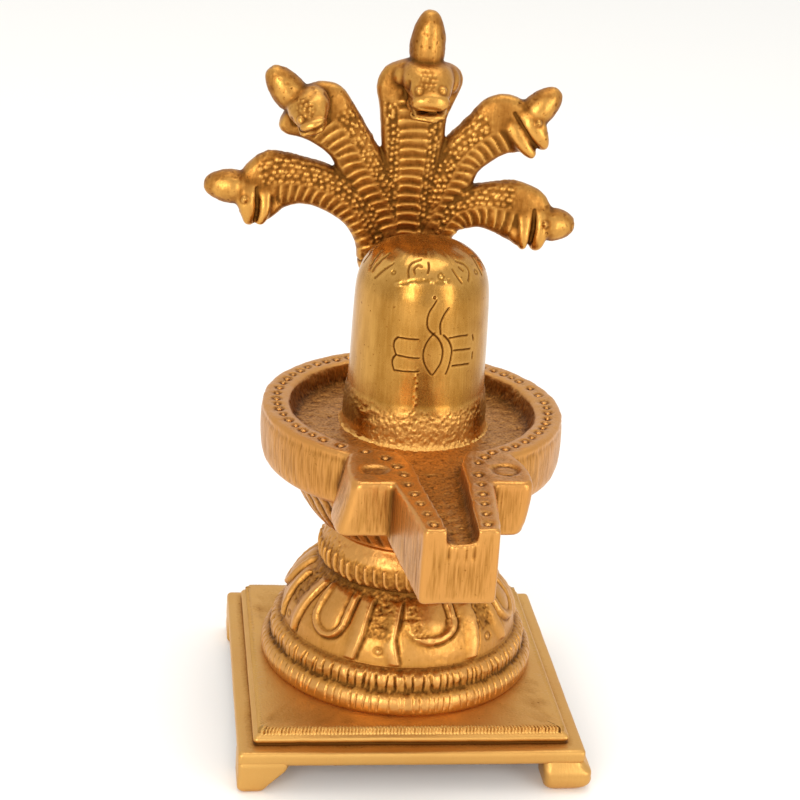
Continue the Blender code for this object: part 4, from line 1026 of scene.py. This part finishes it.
def pebbles(u, v, pitch, seed):
    # distance to the nearest of many scattered dots, in pitches, and a size for each dot
    row = np.round(v / (pitch * 0.87))
    best, size = np.full(u.shape, 9.0), np.zeros(u.shape)
    for step in (-1, 0, 1):
        line = row + step
        shift = 0.5 * (line.astype(int) & 1)
        column = np.round(u / pitch - shift)
        key = np.stack([column, line, 0 * line], axis=-1).astype(np.int64)
        du = u / pitch - shift - column - 0.45 * (hashed(key, seed) - 0.5)
        dv = v / pitch - 0.87 * line - 0.45 * (hashed(key, seed + 1) - 0.5)
        distance = np.hypot(du, dv)
        size = np.where(distance < best, hashed(key, seed + 2), size)
        best = np.minimum(best, distance)
    return best, size


def scales(points, normals):
    x, y, z = points.T
    height, filed = np.zeros(len(x)), np.full(len(x), 0.45)
    chosen, owner = np.full(len(x), 9.0), np.full(len(x), -1)
    fields = []
    for number, name in enumerate(naga["hoods"]):
        upper, lower = hoodRuns(name, 26)
        middle = (upper + lower) / 2
        halfAt = np.linalg.norm(lower - upper, axis=1) / 2
        along, across, distance, total = nearestRun(x, z, middle)
        half = np.interp(along, np.linspace(0, total, 26), halfAt)
        side = 1 if ((lower - upper)[13] @ np.array([(middle[14] - middle[12])[1], -(middle[14] - middle[12])[0]])) > 0 else -1
        ratio = distance / half + (0.35 if name != "centre" else 0.0) * (along / total < 0.25)
        closer = ratio < chosen
        chosen, owner = np.where(closer, ratio, chosen), np.where(closer, number, owner)
        fields.append((name, along, across * side / half, half, total))
    front = ease(0.05, 0.4, -normals[:, 1])
    back = ease(0.05, 0.4, normals[:, 1])
    for number, (name, along, across, half, total) in enumerate(fields):
        mine = (owner == number) & (chosen < 1.25)
        if name == "centre":
            belt = 1 - ease(0.36, 0.50, np.abs(across + 0.02))
            middle = across
        else:
            start = {"lowerLeft": 0.12, "upperLeft": -0.10}.get(name, 0.0)
            belt = ease(start - 0.08, start + 0.10, across) * (1 - ease(0.66, 0.84, across))
            middle = across - 0.45
        fade = ease(0, 2, along) * (1 - ease(total - 8.5, total - 5.5, along))
        phase = along / 2.15 + 0.9 * middle ** 2 + 0.10 * grain(points, 3.0, 120)
        share = phase - np.floor(phase)
        # a belly plate rises towards the head, then drops under the next
        plate = share ** 1.4 * (1 - ease(0.80, 1.0, share))
        height += mine * front * belt * fade * (0.46 * plate - 0.20)
        filed = np.where(mine & (front * belt * fade > 0.5), 0.45 + 0.55 * ease(0.25, 0.7, plate), filed)
        dots, size = pebbles(along, across * half, 1.35, 101 + 3 * number)
        scale = (1 - ease(0.16, 0.52, dots)) * (0.45 + 0.75 * size)
        ring = np.exp(-((dots - 0.30) / 0.12) ** 2) * (size > 0.72)      # some are ring punches
        rest = (1 - belt) * (1 - ease(0.74, 0.86, np.abs(across)))
        if name != "centre":
            rest = rest * (1 - ease(start - 0.16, start - 0.02, across))
        smooth = 4.0 if name == "lowerLeft" else 8.5
        quiet = 1 - ease(total - smooth - 2.5, total - smooth, along)
        height += mine * front * rest * quiet * (0.40 * scale - 0.20 - 0.24 * ring)
        filed = np.where(mine & (front * rest * quiet > 0.5), 0.05 + 0.95 * scale, filed)
        edge = mine & (across < -0.78) & (name != "centre")
        filed = np.where(edge & (quiet > 0.5), 0.0, filed)
        height += edge * quiet * 0.10 * rough(points, 0.9, 121)
        height += mine * back * (0.14 * scale - 0.07) * (1 - ease(0.8, 1.0, np.abs(across)))
    # rounded blocks of scales down the trunk
    low = 1 - ease(102, 106, z)
    blockU, blockV = (x + 0.8) / 2.3, z / 2.5
    shift = 0.5 * (np.floor(blockV).astype(int) & 1)
    du, dv = (blockU + shift) % 1 - 0.5, blockV % 1 - 0.5
    block = (1 - ease(0.30, 0.5, np.abs(du))) * (1 - ease(0.30, 0.5, np.abs(dv)))
    height += low * (0.40 * block - 0.2)
    filed = np.where(low > 0.5, 0.2 + 0.5 * block, filed)
    # eyes stand in a groove, and the crests start from a crevice
    for ex, ey, ez in naga["eyes"]:
        distance = np.sqrt((x - ex) ** 2 + (y - ey) ** 2 + (z - ez) ** 2)
        height -= 0.14 * np.exp(-((distance - 1.05) / 0.30) ** 2) * (front > 0.1)
        filed = np.where(distance < 0.9, 1.0, filed)
    for base, tip, radius in naga["crests"].values():
        dx, dz = tip[0] - base[0], tip[1] - base[1]
        length = math.hypot(dx, dz)
        share = ((x - base[0]) * dx + (z - base[1]) * dz) / length ** 2
        off = np.abs((x - base[0]) * dz - (z - base[1]) * dx) / length
        on = (off < radius * 1.25) & (share > 0.0) & (share < 1.2)
        filed = np.where(on & (share > 0.16), 0.08, filed)
        height -= on * 0.16 * np.exp(-((share - 0.10) * length / 0.6) ** 2)
        height -= (on & (share > 0.15)) * 0.14 * pits(points, 0.9, 111, 0.2)
    heads = ((y < 13.4) & (z > 105)).astype(float)
    filed = np.where(heads > 0, 0.8, filed)
    # fine scales cut on the brow of the two heads that look forward
    for bx, bz, tilt in ((-0.3, 145.9, 0.0), (-26.2, 138.6, 0.4)):
        u = (x - bx) * math.cos(tilt) + (z - bz) * math.sin(tilt)
        v = (z - bz) * math.cos(tilt) - (x - bx) * math.sin(tilt)
        patch = (1 - ease(1.6, 2.2, np.hypot(u, v))) * (front > 0.05) * heads
        small, size = pebbles(u, v, 1.0, 140)
        height += patch * (0.20 * (1 - ease(0.10, 0.50, small)) - 0.10)
        filed = filed - 0.45 * patch * ease(0.2, 0.5, small)
    for route, depth, wide in naga["grooves"]:
        low, high = np.min(route, axis=0) - 1.5, np.max(route, axis=0) + 1.5
        near = (x > low[0]) & (x < high[0]) & (z > low[1]) & (z < high[1]) & (y < 16.5)
        distance = nearestRun(x[near], z[near], curveThrough(np.array(route), 12))[2]
        cut = np.exp(-(distance / wide) ** 2) * np.clip(front[near] * 2, 0, 1)
        height[near] -= depth * cut
        filed[near] = filed[near] * (1 - cut)
    height += 0.06 * rough(points, 1.3, 112) * (1.2 - filed) + 0.03 * grain(points, 4.0, 115)
    return height, filed


# materials

def colour(code):
    # sRGB hex to linear
    parts = [int(code[k:k + 2], 16) / 255 for k in (1, 3, 5)]
    return (*[c / 12.92 if c <= 0.04045 else ((c + 0.055) / 1.055) ** 2.4 for c in parts], 1.0)


def node(tree, kind, settings=None, **links):
    # adds one node: settings are its attributes or input values, links come from other nodes' sockets
    made = tree.nodes.new(kind)
    for key, value in (settings or {}).items():
        if isinstance(key, str) and hasattr(made, key):
            setattr(made, key, value)
        else:
            made.inputs[key].default_value = value
    for key, source in links.items():
        tree.links.new(source, made.inputs[int(key[2:]) if key.startswith("in") and key[2:].isdigit() else key])
    return made


# Cast brass, poured in sand and then worked by hand. Sizes are in mm, and shares say how far each thing brightens the metal.
# Grains of casting sand are about 0.2 mm, too fine to show here, so they are drawn at 0.45 mm, and their pits at 0.7 mm.
# File strokes are about 0.1 mm wide and are drawn 0.5 mm wide and 6 mm long.
brass = {
    "hollow": "#6A4318", "dull": "#9C682C", "metal": "#B9823C", "ridge": "#CC9450",
    # from patina in a hollow, and painted shade in a broad recess, to a rubbed ridge
    "tarnish": 0.6, "tarnishColour": "#E0BC9C", "tarnishSize": 22.0,
    "stainSize": 6.0, "grainSize": 0.45, "pitSize": 0.7, "spotSize": 0.8, "stroke": (0.5, 0.5, 6.0),
    # broadRelief is painted shade: it darkens broad recesses towards the hollow colour
    "start": 0.5, "fineRelief": 2.0, "broadRelief": 0.5, "filedShare": 0.5, "stainShare": 0.35, "streakShare": 0.35,
    "spotShare": 0.5,
    "roughness": 0.46, "roughHollow": 0.22, "roughGrain": 0.22, "castRough": 0.0,
    # polished brass is about 0.2, as cast 0.5
    "strokeHeight": 0.35, "castHeight": 0.9, "skinLeft": 0.15,                           # heights in tenths of a mm
}
looks = {
    # brushed with wire: a soft, even sheen with short streaks, duller than the rest
    "brushedCastBrass": {**brass, "strokeHeight": 0.55, "roughness": 0.54, "start": 0.58, "streakShare": 0.5,
                         "metal": "#C0904A", "ridge": "#D2A25A"},
    # ground with a stone where the wheel reaches: bright petal lines over a brown, pitted ground
    "groundCastBrass": {**brass, "start": 0.56, "roughness": 0.46, "fineRelief": 1.6},
    # turned and filed on its walls: strong upright streaks, light against dark
    "turnedCastBrass": {**brass, "start": 0.58, "strokeHeight": 0.7, "roughness": 0.44, "streakShare": 1.5,
                        "dull": "#93602A", "metal": "#B27D3C", "ridge": "#CC924E"},
    # polished on a buff: long clear highlights on the shaft, while the unfiled collar keeps its coarse casting skin
    "polishedCastBrass": {**brass, "dull": "#94632A", "metal": "#A27230", "ridge": "#E8B362", "castRough": 0.8,
                          "castHeight": 3.2, "skinLeft": 0.03,
                          "start": 0.20, "roughness": 0.29, "strokeHeight": 0.12, "filedShare": 0.9, "streakShare": 0.15,
                          "stainShare": 0.22},
    # chased with punches: every scale has a bright top and a dark edge, with blotches of patina between
    "chasedCastBrass": {**brass, "dull": "#8C5922", "metal": "#A97434", "ridge": "#CC964A", "start": 0.44, "roughness": 0.41,
                        "fineRelief": 2.8,
                        "stainShare": 0.75, "spotShare": 0.8, "castRough": 0.10},
}


def castBrass(name, look):
    # brown patina stays in the fine hollows, broad recesses are painted darker as shade, and yellow metal shows on the
    # ridges, with a fine grain that breaks up each highlight
    material = bpy.data.materials.new(name)
    material.use_nodes = True
    tree = material.node_tree
    shader = tree.nodes["Principled BSDF"]
    shader.inputs["Metallic"].default_value = 1.0
    place = node(tree, "ShaderNodeTexCoord").outputs["Object"]
    millimetres = node(tree, "ShaderNodeVectorMath", {"operation": "SCALE", "Scale": 1000.0}, in0=place).outputs[0]
    fine, broad, filed = (node(tree, "ShaderNodeAttribute", {"attribute_name": mark}).outputs["Fac"] for mark in ("fineRelief",
                                                                                                                  "broadRelief",
                                                                                                                  "filed"))
    sizes = ((look["stainSize"], 4.0), (look["grainSize"], 3.0), (look["tarnishSize"], 2.0), (look["spotSize"], 1.0))
    stain, speck, cloud, spots = (node(tree, "ShaderNodeTexNoise", {"Scale": 1 / size, "Detail": detail},
                                       Vector=millimetres).outputs["Fac"]
                                  for size, detail in sizes)
    pitting = node(tree, "ShaderNodeTexVoronoi", {"Scale": 1 / look["pitSize"], "Randomness": 1.0},
                   Vector=millimetres).outputs["Distance"]
    # file and brush strokes: noise squeezed along the stroke
    squeezed = node(tree, "ShaderNodeVectorMath", {"operation": "MULTIPLY", 1: [1 / s for s in look["stroke"]]},
                    in0=millimetres).outputs[0]
    stroke = node(tree, "ShaderNodeTexNoise", {"Scale": 1.0, "Detail": 3.0}, Vector=squeezed).outputs["Fac"]
    # only the tops of this noise are left, as specks of casting skin and dirt
    spots = node(tree, "ShaderNodeMath", {"operation": "MULTIPLY_ADD", "use_clamp": True, 1: 7.0, 2: -4.9}, in0=spots).outputs[0]
    unfiled = node(tree, "ShaderNodeMath", {"operation": "SUBTRACT", 0: 1.0}, in1=filed).outputs[0]
    unfiled = node(tree, "ShaderNodeMath", {"operation": "ABSOLUTE"}, in0=unfiled).outputs[0]

    # how worn a point is, with painted shade in broad recesses and the painted light of the lingam's collar added, from
    # 0 in a dark hollow to 1 on a bright ridge
    start = look["start"] - 0.5 * (look["filedShare"] + look["stainShare"] + look["streakShare"])
    wearAndPaintedLight = node(tree, "ShaderNodeMath", {"operation": "MULTIPLY_ADD", 1: look["fineRelief"], 2: start}, in0=fine).outputs[0]
    for source, share in ((broad, look["broadRelief"]), (filed, look["filedShare"]), (stain, look["stainShare"]),
                          (stroke, look["streakShare"])):
        wearAndPaintedLight = node(tree, "ShaderNodeMath", {"operation": "MULTIPLY_ADD", 1: share}, in0=source, in2=wearAndPaintedLight).outputs[0]
    wearAndPaintedLight = node(tree, "ShaderNodeMath", {"operation": "MULTIPLY_ADD", "use_clamp": True, 1: -look["spotShare"]}, in0=spots,
                in2=wearAndPaintedLight).outputs[0]
    ramp = node(tree, "ShaderNodeValToRGB", None, Fac=wearAndPaintedLight)
    stops = ramp.color_ramp.elements
    stops[0].position, stops[0].color = 0.0, colour(look["hollow"])
    stops[1].position, stops[1].color = 1.0, colour(look["ridge"])
    for position, code in ((0.32, look["dull"]), (0.62, look["metal"])):
        stops.new(position).color = colour(code)
    # wide clouds of reddish tarnish
    cloud = node(tree, "ShaderNodeMath", {"operation": "MULTIPLY_ADD", "use_clamp": True, 1: look["tarnish"],
                                          2: -0.35 * look["tarnish"]}, in0=cloud).outputs[0]
    tint = node(tree, "ShaderNodeMix", {"data_type": "RGBA", "blend_type": "MULTIPLY", 7: colour(look["tarnishColour"])},
                in0=cloud, in6=ramp.outputs["Color"])
    tree.links.new(tint.outputs[2], shader.inputs["Base Color"])

    # hollows and unfiled metal are rougher
    start = look["roughness"] + 0.5 * look["roughHollow"] - 0.5 * look["roughGrain"]
    roughness = node(tree, "ShaderNodeMath", {"operation": "MULTIPLY_ADD", 1: -look["roughHollow"], 2: start},
                     in0=wearAndPaintedLight).outputs[0]
    for source, share, last in ((unfiled, look["castRough"], False), (speck, look["roughGrain"], True)):
        roughness = node(tree, "ShaderNodeMath", {"operation": "MULTIPLY_ADD", "use_clamp": last, 1: share}, in0=source,
                         in2=roughness).outputs[0]
    tree.links.new(roughness, shader.inputs["Roughness"])

    # the bump is casting grain where nothing was filed, and strokes everywhere
    grit = node(tree, "ShaderNodeMath", {"operation": "MULTIPLY", 1: 0.6}, in0=speck).outputs[0]
    grit = node(tree, "ShaderNodeMath", {"operation": "MULTIPLY_ADD", 1: 0.5}, in0=pitting, in2=grit).outputs[0]
    bare = node(tree, "ShaderNodeMath", {"operation": "ADD", 1: look["skinLeft"]}, in0=unfiled).outputs[0]
    grit = node(tree, "ShaderNodeMath", {"operation": "MULTIPLY"}, in0=grit, in1=bare).outputs[0]
    skin = node(tree, "ShaderNodeMath", {"operation": "MULTIPLY", 1: look["strokeHeight"]}, in0=stroke).outputs[0]
    skin = node(tree, "ShaderNodeMath", {"operation": "MULTIPLY_ADD", 1: look["castHeight"]}, in0=grit, in2=skin).outputs[0]
    relieved = node(tree, "ShaderNodeBump", {"Strength": 1.0, "Distance": 0.0001}, Height=skin)
    tree.links.new(relieved.outputs["Normal"], shader.inputs["Normal"])
    return material


# building

print("plinth")
plinthPiece = buildPlinth()
markSurface(plinthPiece, np.full(len(plinthPiece.data.vertices), 0.85))
print("bell")
bellPiece, bellFiled = buildBell()
markSurface(bellPiece, bellFiled)
print("lingam")
lingamPiece, lingamFiledAndPaintedLight = buildLingam()
# the lingam's filed marks hold a painted highlight on the front of the collar and painted shade at its sides
markSurface(lingamPiece, lingamFiledAndPaintedLight)
print("dish")
dishPiece = buildDish()
print("naga")
nagaPiece = buildNaga()

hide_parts("lotus_pedestal")
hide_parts("lotus_pedestal")
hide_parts("yoni_lingam")
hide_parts("yoni_lingam")
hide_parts("naga")
for piece, slot, look in ((plinthPiece, "lotus_pedestal", "brushedCastBrass"), (bellPiece, "lotus_pedestal", "groundCastBrass"),
                          (dishPiece, "yoni_lingam", "turnedCastBrass"), (lingamPiece, "yoni_lingam", "polishedCastBrass"),
                          (nagaPiece, "naga", "chasedCastBrass")):
    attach(piece, "root")
    piece.data.materials.clear()
    piece.data.materials.append(castBrass(look, looks[look]))
    print(piece.name, sum(len(p.vertices) - 2 for p in piece.data.polygons), "triangles")


# floor, light and camera

studio = {
    "paper": "#F6F5F2", "paperRoughness": 0.8, "air": "#FBFAF8", "airStrength": 1.0, "floorReach": 3.0,
    # softboxes: (name, place and target in metres, width, height, watts)
    "softboxes": [("key", (-0.38, -0.74, 0.38), (0, 0, 0.05), 0.32, 0.6, 3.3),
                  ("fill", (0.50, -0.62, 0.22), (0, 0, 0.05), 0.30, 0.6, 2.0),
                  ("top", (0.05, 0.10, 0.9), (0, 0, 0.07), 0.6, 0.5, 2.0)],
    # the camera's turns in degrees, and its place in mm from the lingam's foot
    "yaw": -8.0323, "pitch": 21.9486, "roll": 3.9433, "cameraPlace": (-58.8, -396.7, 237.3), "lens": 87.6, "sensor": 36.0,
}

reach = studio["floorReach"]
floorMesh = bpy.data.meshes.new("floor")
floorMesh.from_pydata([(-reach, -reach, 0), (reach, -reach, 0), (reach, reach, 0), (-reach, reach, 0)], [], [(0, 1, 2, 3)])
floor = bpy.data.objects.new("floor", floorMesh)
bpy.context.scene.collection.objects.link(floor)
paper = bpy.data.materials.new("matPaper")
paper.use_nodes = True
paperShader = paper.node_tree.nodes["Principled BSDF"]
paperShader.inputs["Base Color"].default_value = colour(studio["paper"])
paperShader.inputs["Roughness"].default_value = studio["paperRoughness"]
floorMesh.materials.append(paper)

world = bpy.data.worlds.new("studio")
bpy.context.scene.world = world
world.use_nodes = True
world.node_tree.nodes["Background"].inputs["Color"].default_value = colour(studio["air"])
world.node_tree.nodes["Background"].inputs["Strength"].default_value = studio["airStrength"]

for name, place, target, width, height, power in studio["softboxes"]:
    light = bpy.data.lights.new(name, "AREA")
    light.shape, light.size, light.size_y, light.energy = "RECTANGLE", width, height, power
    lamp = bpy.data.objects.new(name, light)
    lamp.location = place
    lamp.rotation_euler = (Vector(target) - Vector(place)).to_track_quat("-Z", "Y").to_euler()
    bpy.context.scene.collection.objects.link(lamp)
bpy.context.scene.view_settings.view_transform = "Standard"
print("floor and lights")

yaw, pitch, roll = (math.radians(studio[turn]) for turn in ("yaw", "pitch", "roll"))
backward = np.array([math.sin(yaw) * math.cos(pitch), -math.cos(yaw) * math.cos(pitch), math.sin(pitch)])
rightward = np.array([math.cos(yaw), math.sin(yaw), 0.0])
upward = np.cross(backward, rightward)
cameraX = math.cos(roll) * rightward + math.sin(roll) * upward
cameraY = -math.sin(roll) * rightward + math.cos(roll) * upward
cameraData = bpy.data.cameras.new("camera")
cameraData.lens, cameraData.sensor_width, cameraData.clip_end = studio["lens"], studio["sensor"], 10.0
camera = bpy.data.objects.new("camera", cameraData)
place = (np.array(studio["cameraPlace"]) + axis) / 1000
camera.matrix_world = Matrix((*[(*row, place[k]) for k, row in enumerate(np.stack([cameraX, cameraY, backward], axis=1))],
                              (0, 0, 0, 1)))
bpy.context.scene.collection.objects.link(camera)
bpy.context.scene.camera = camera
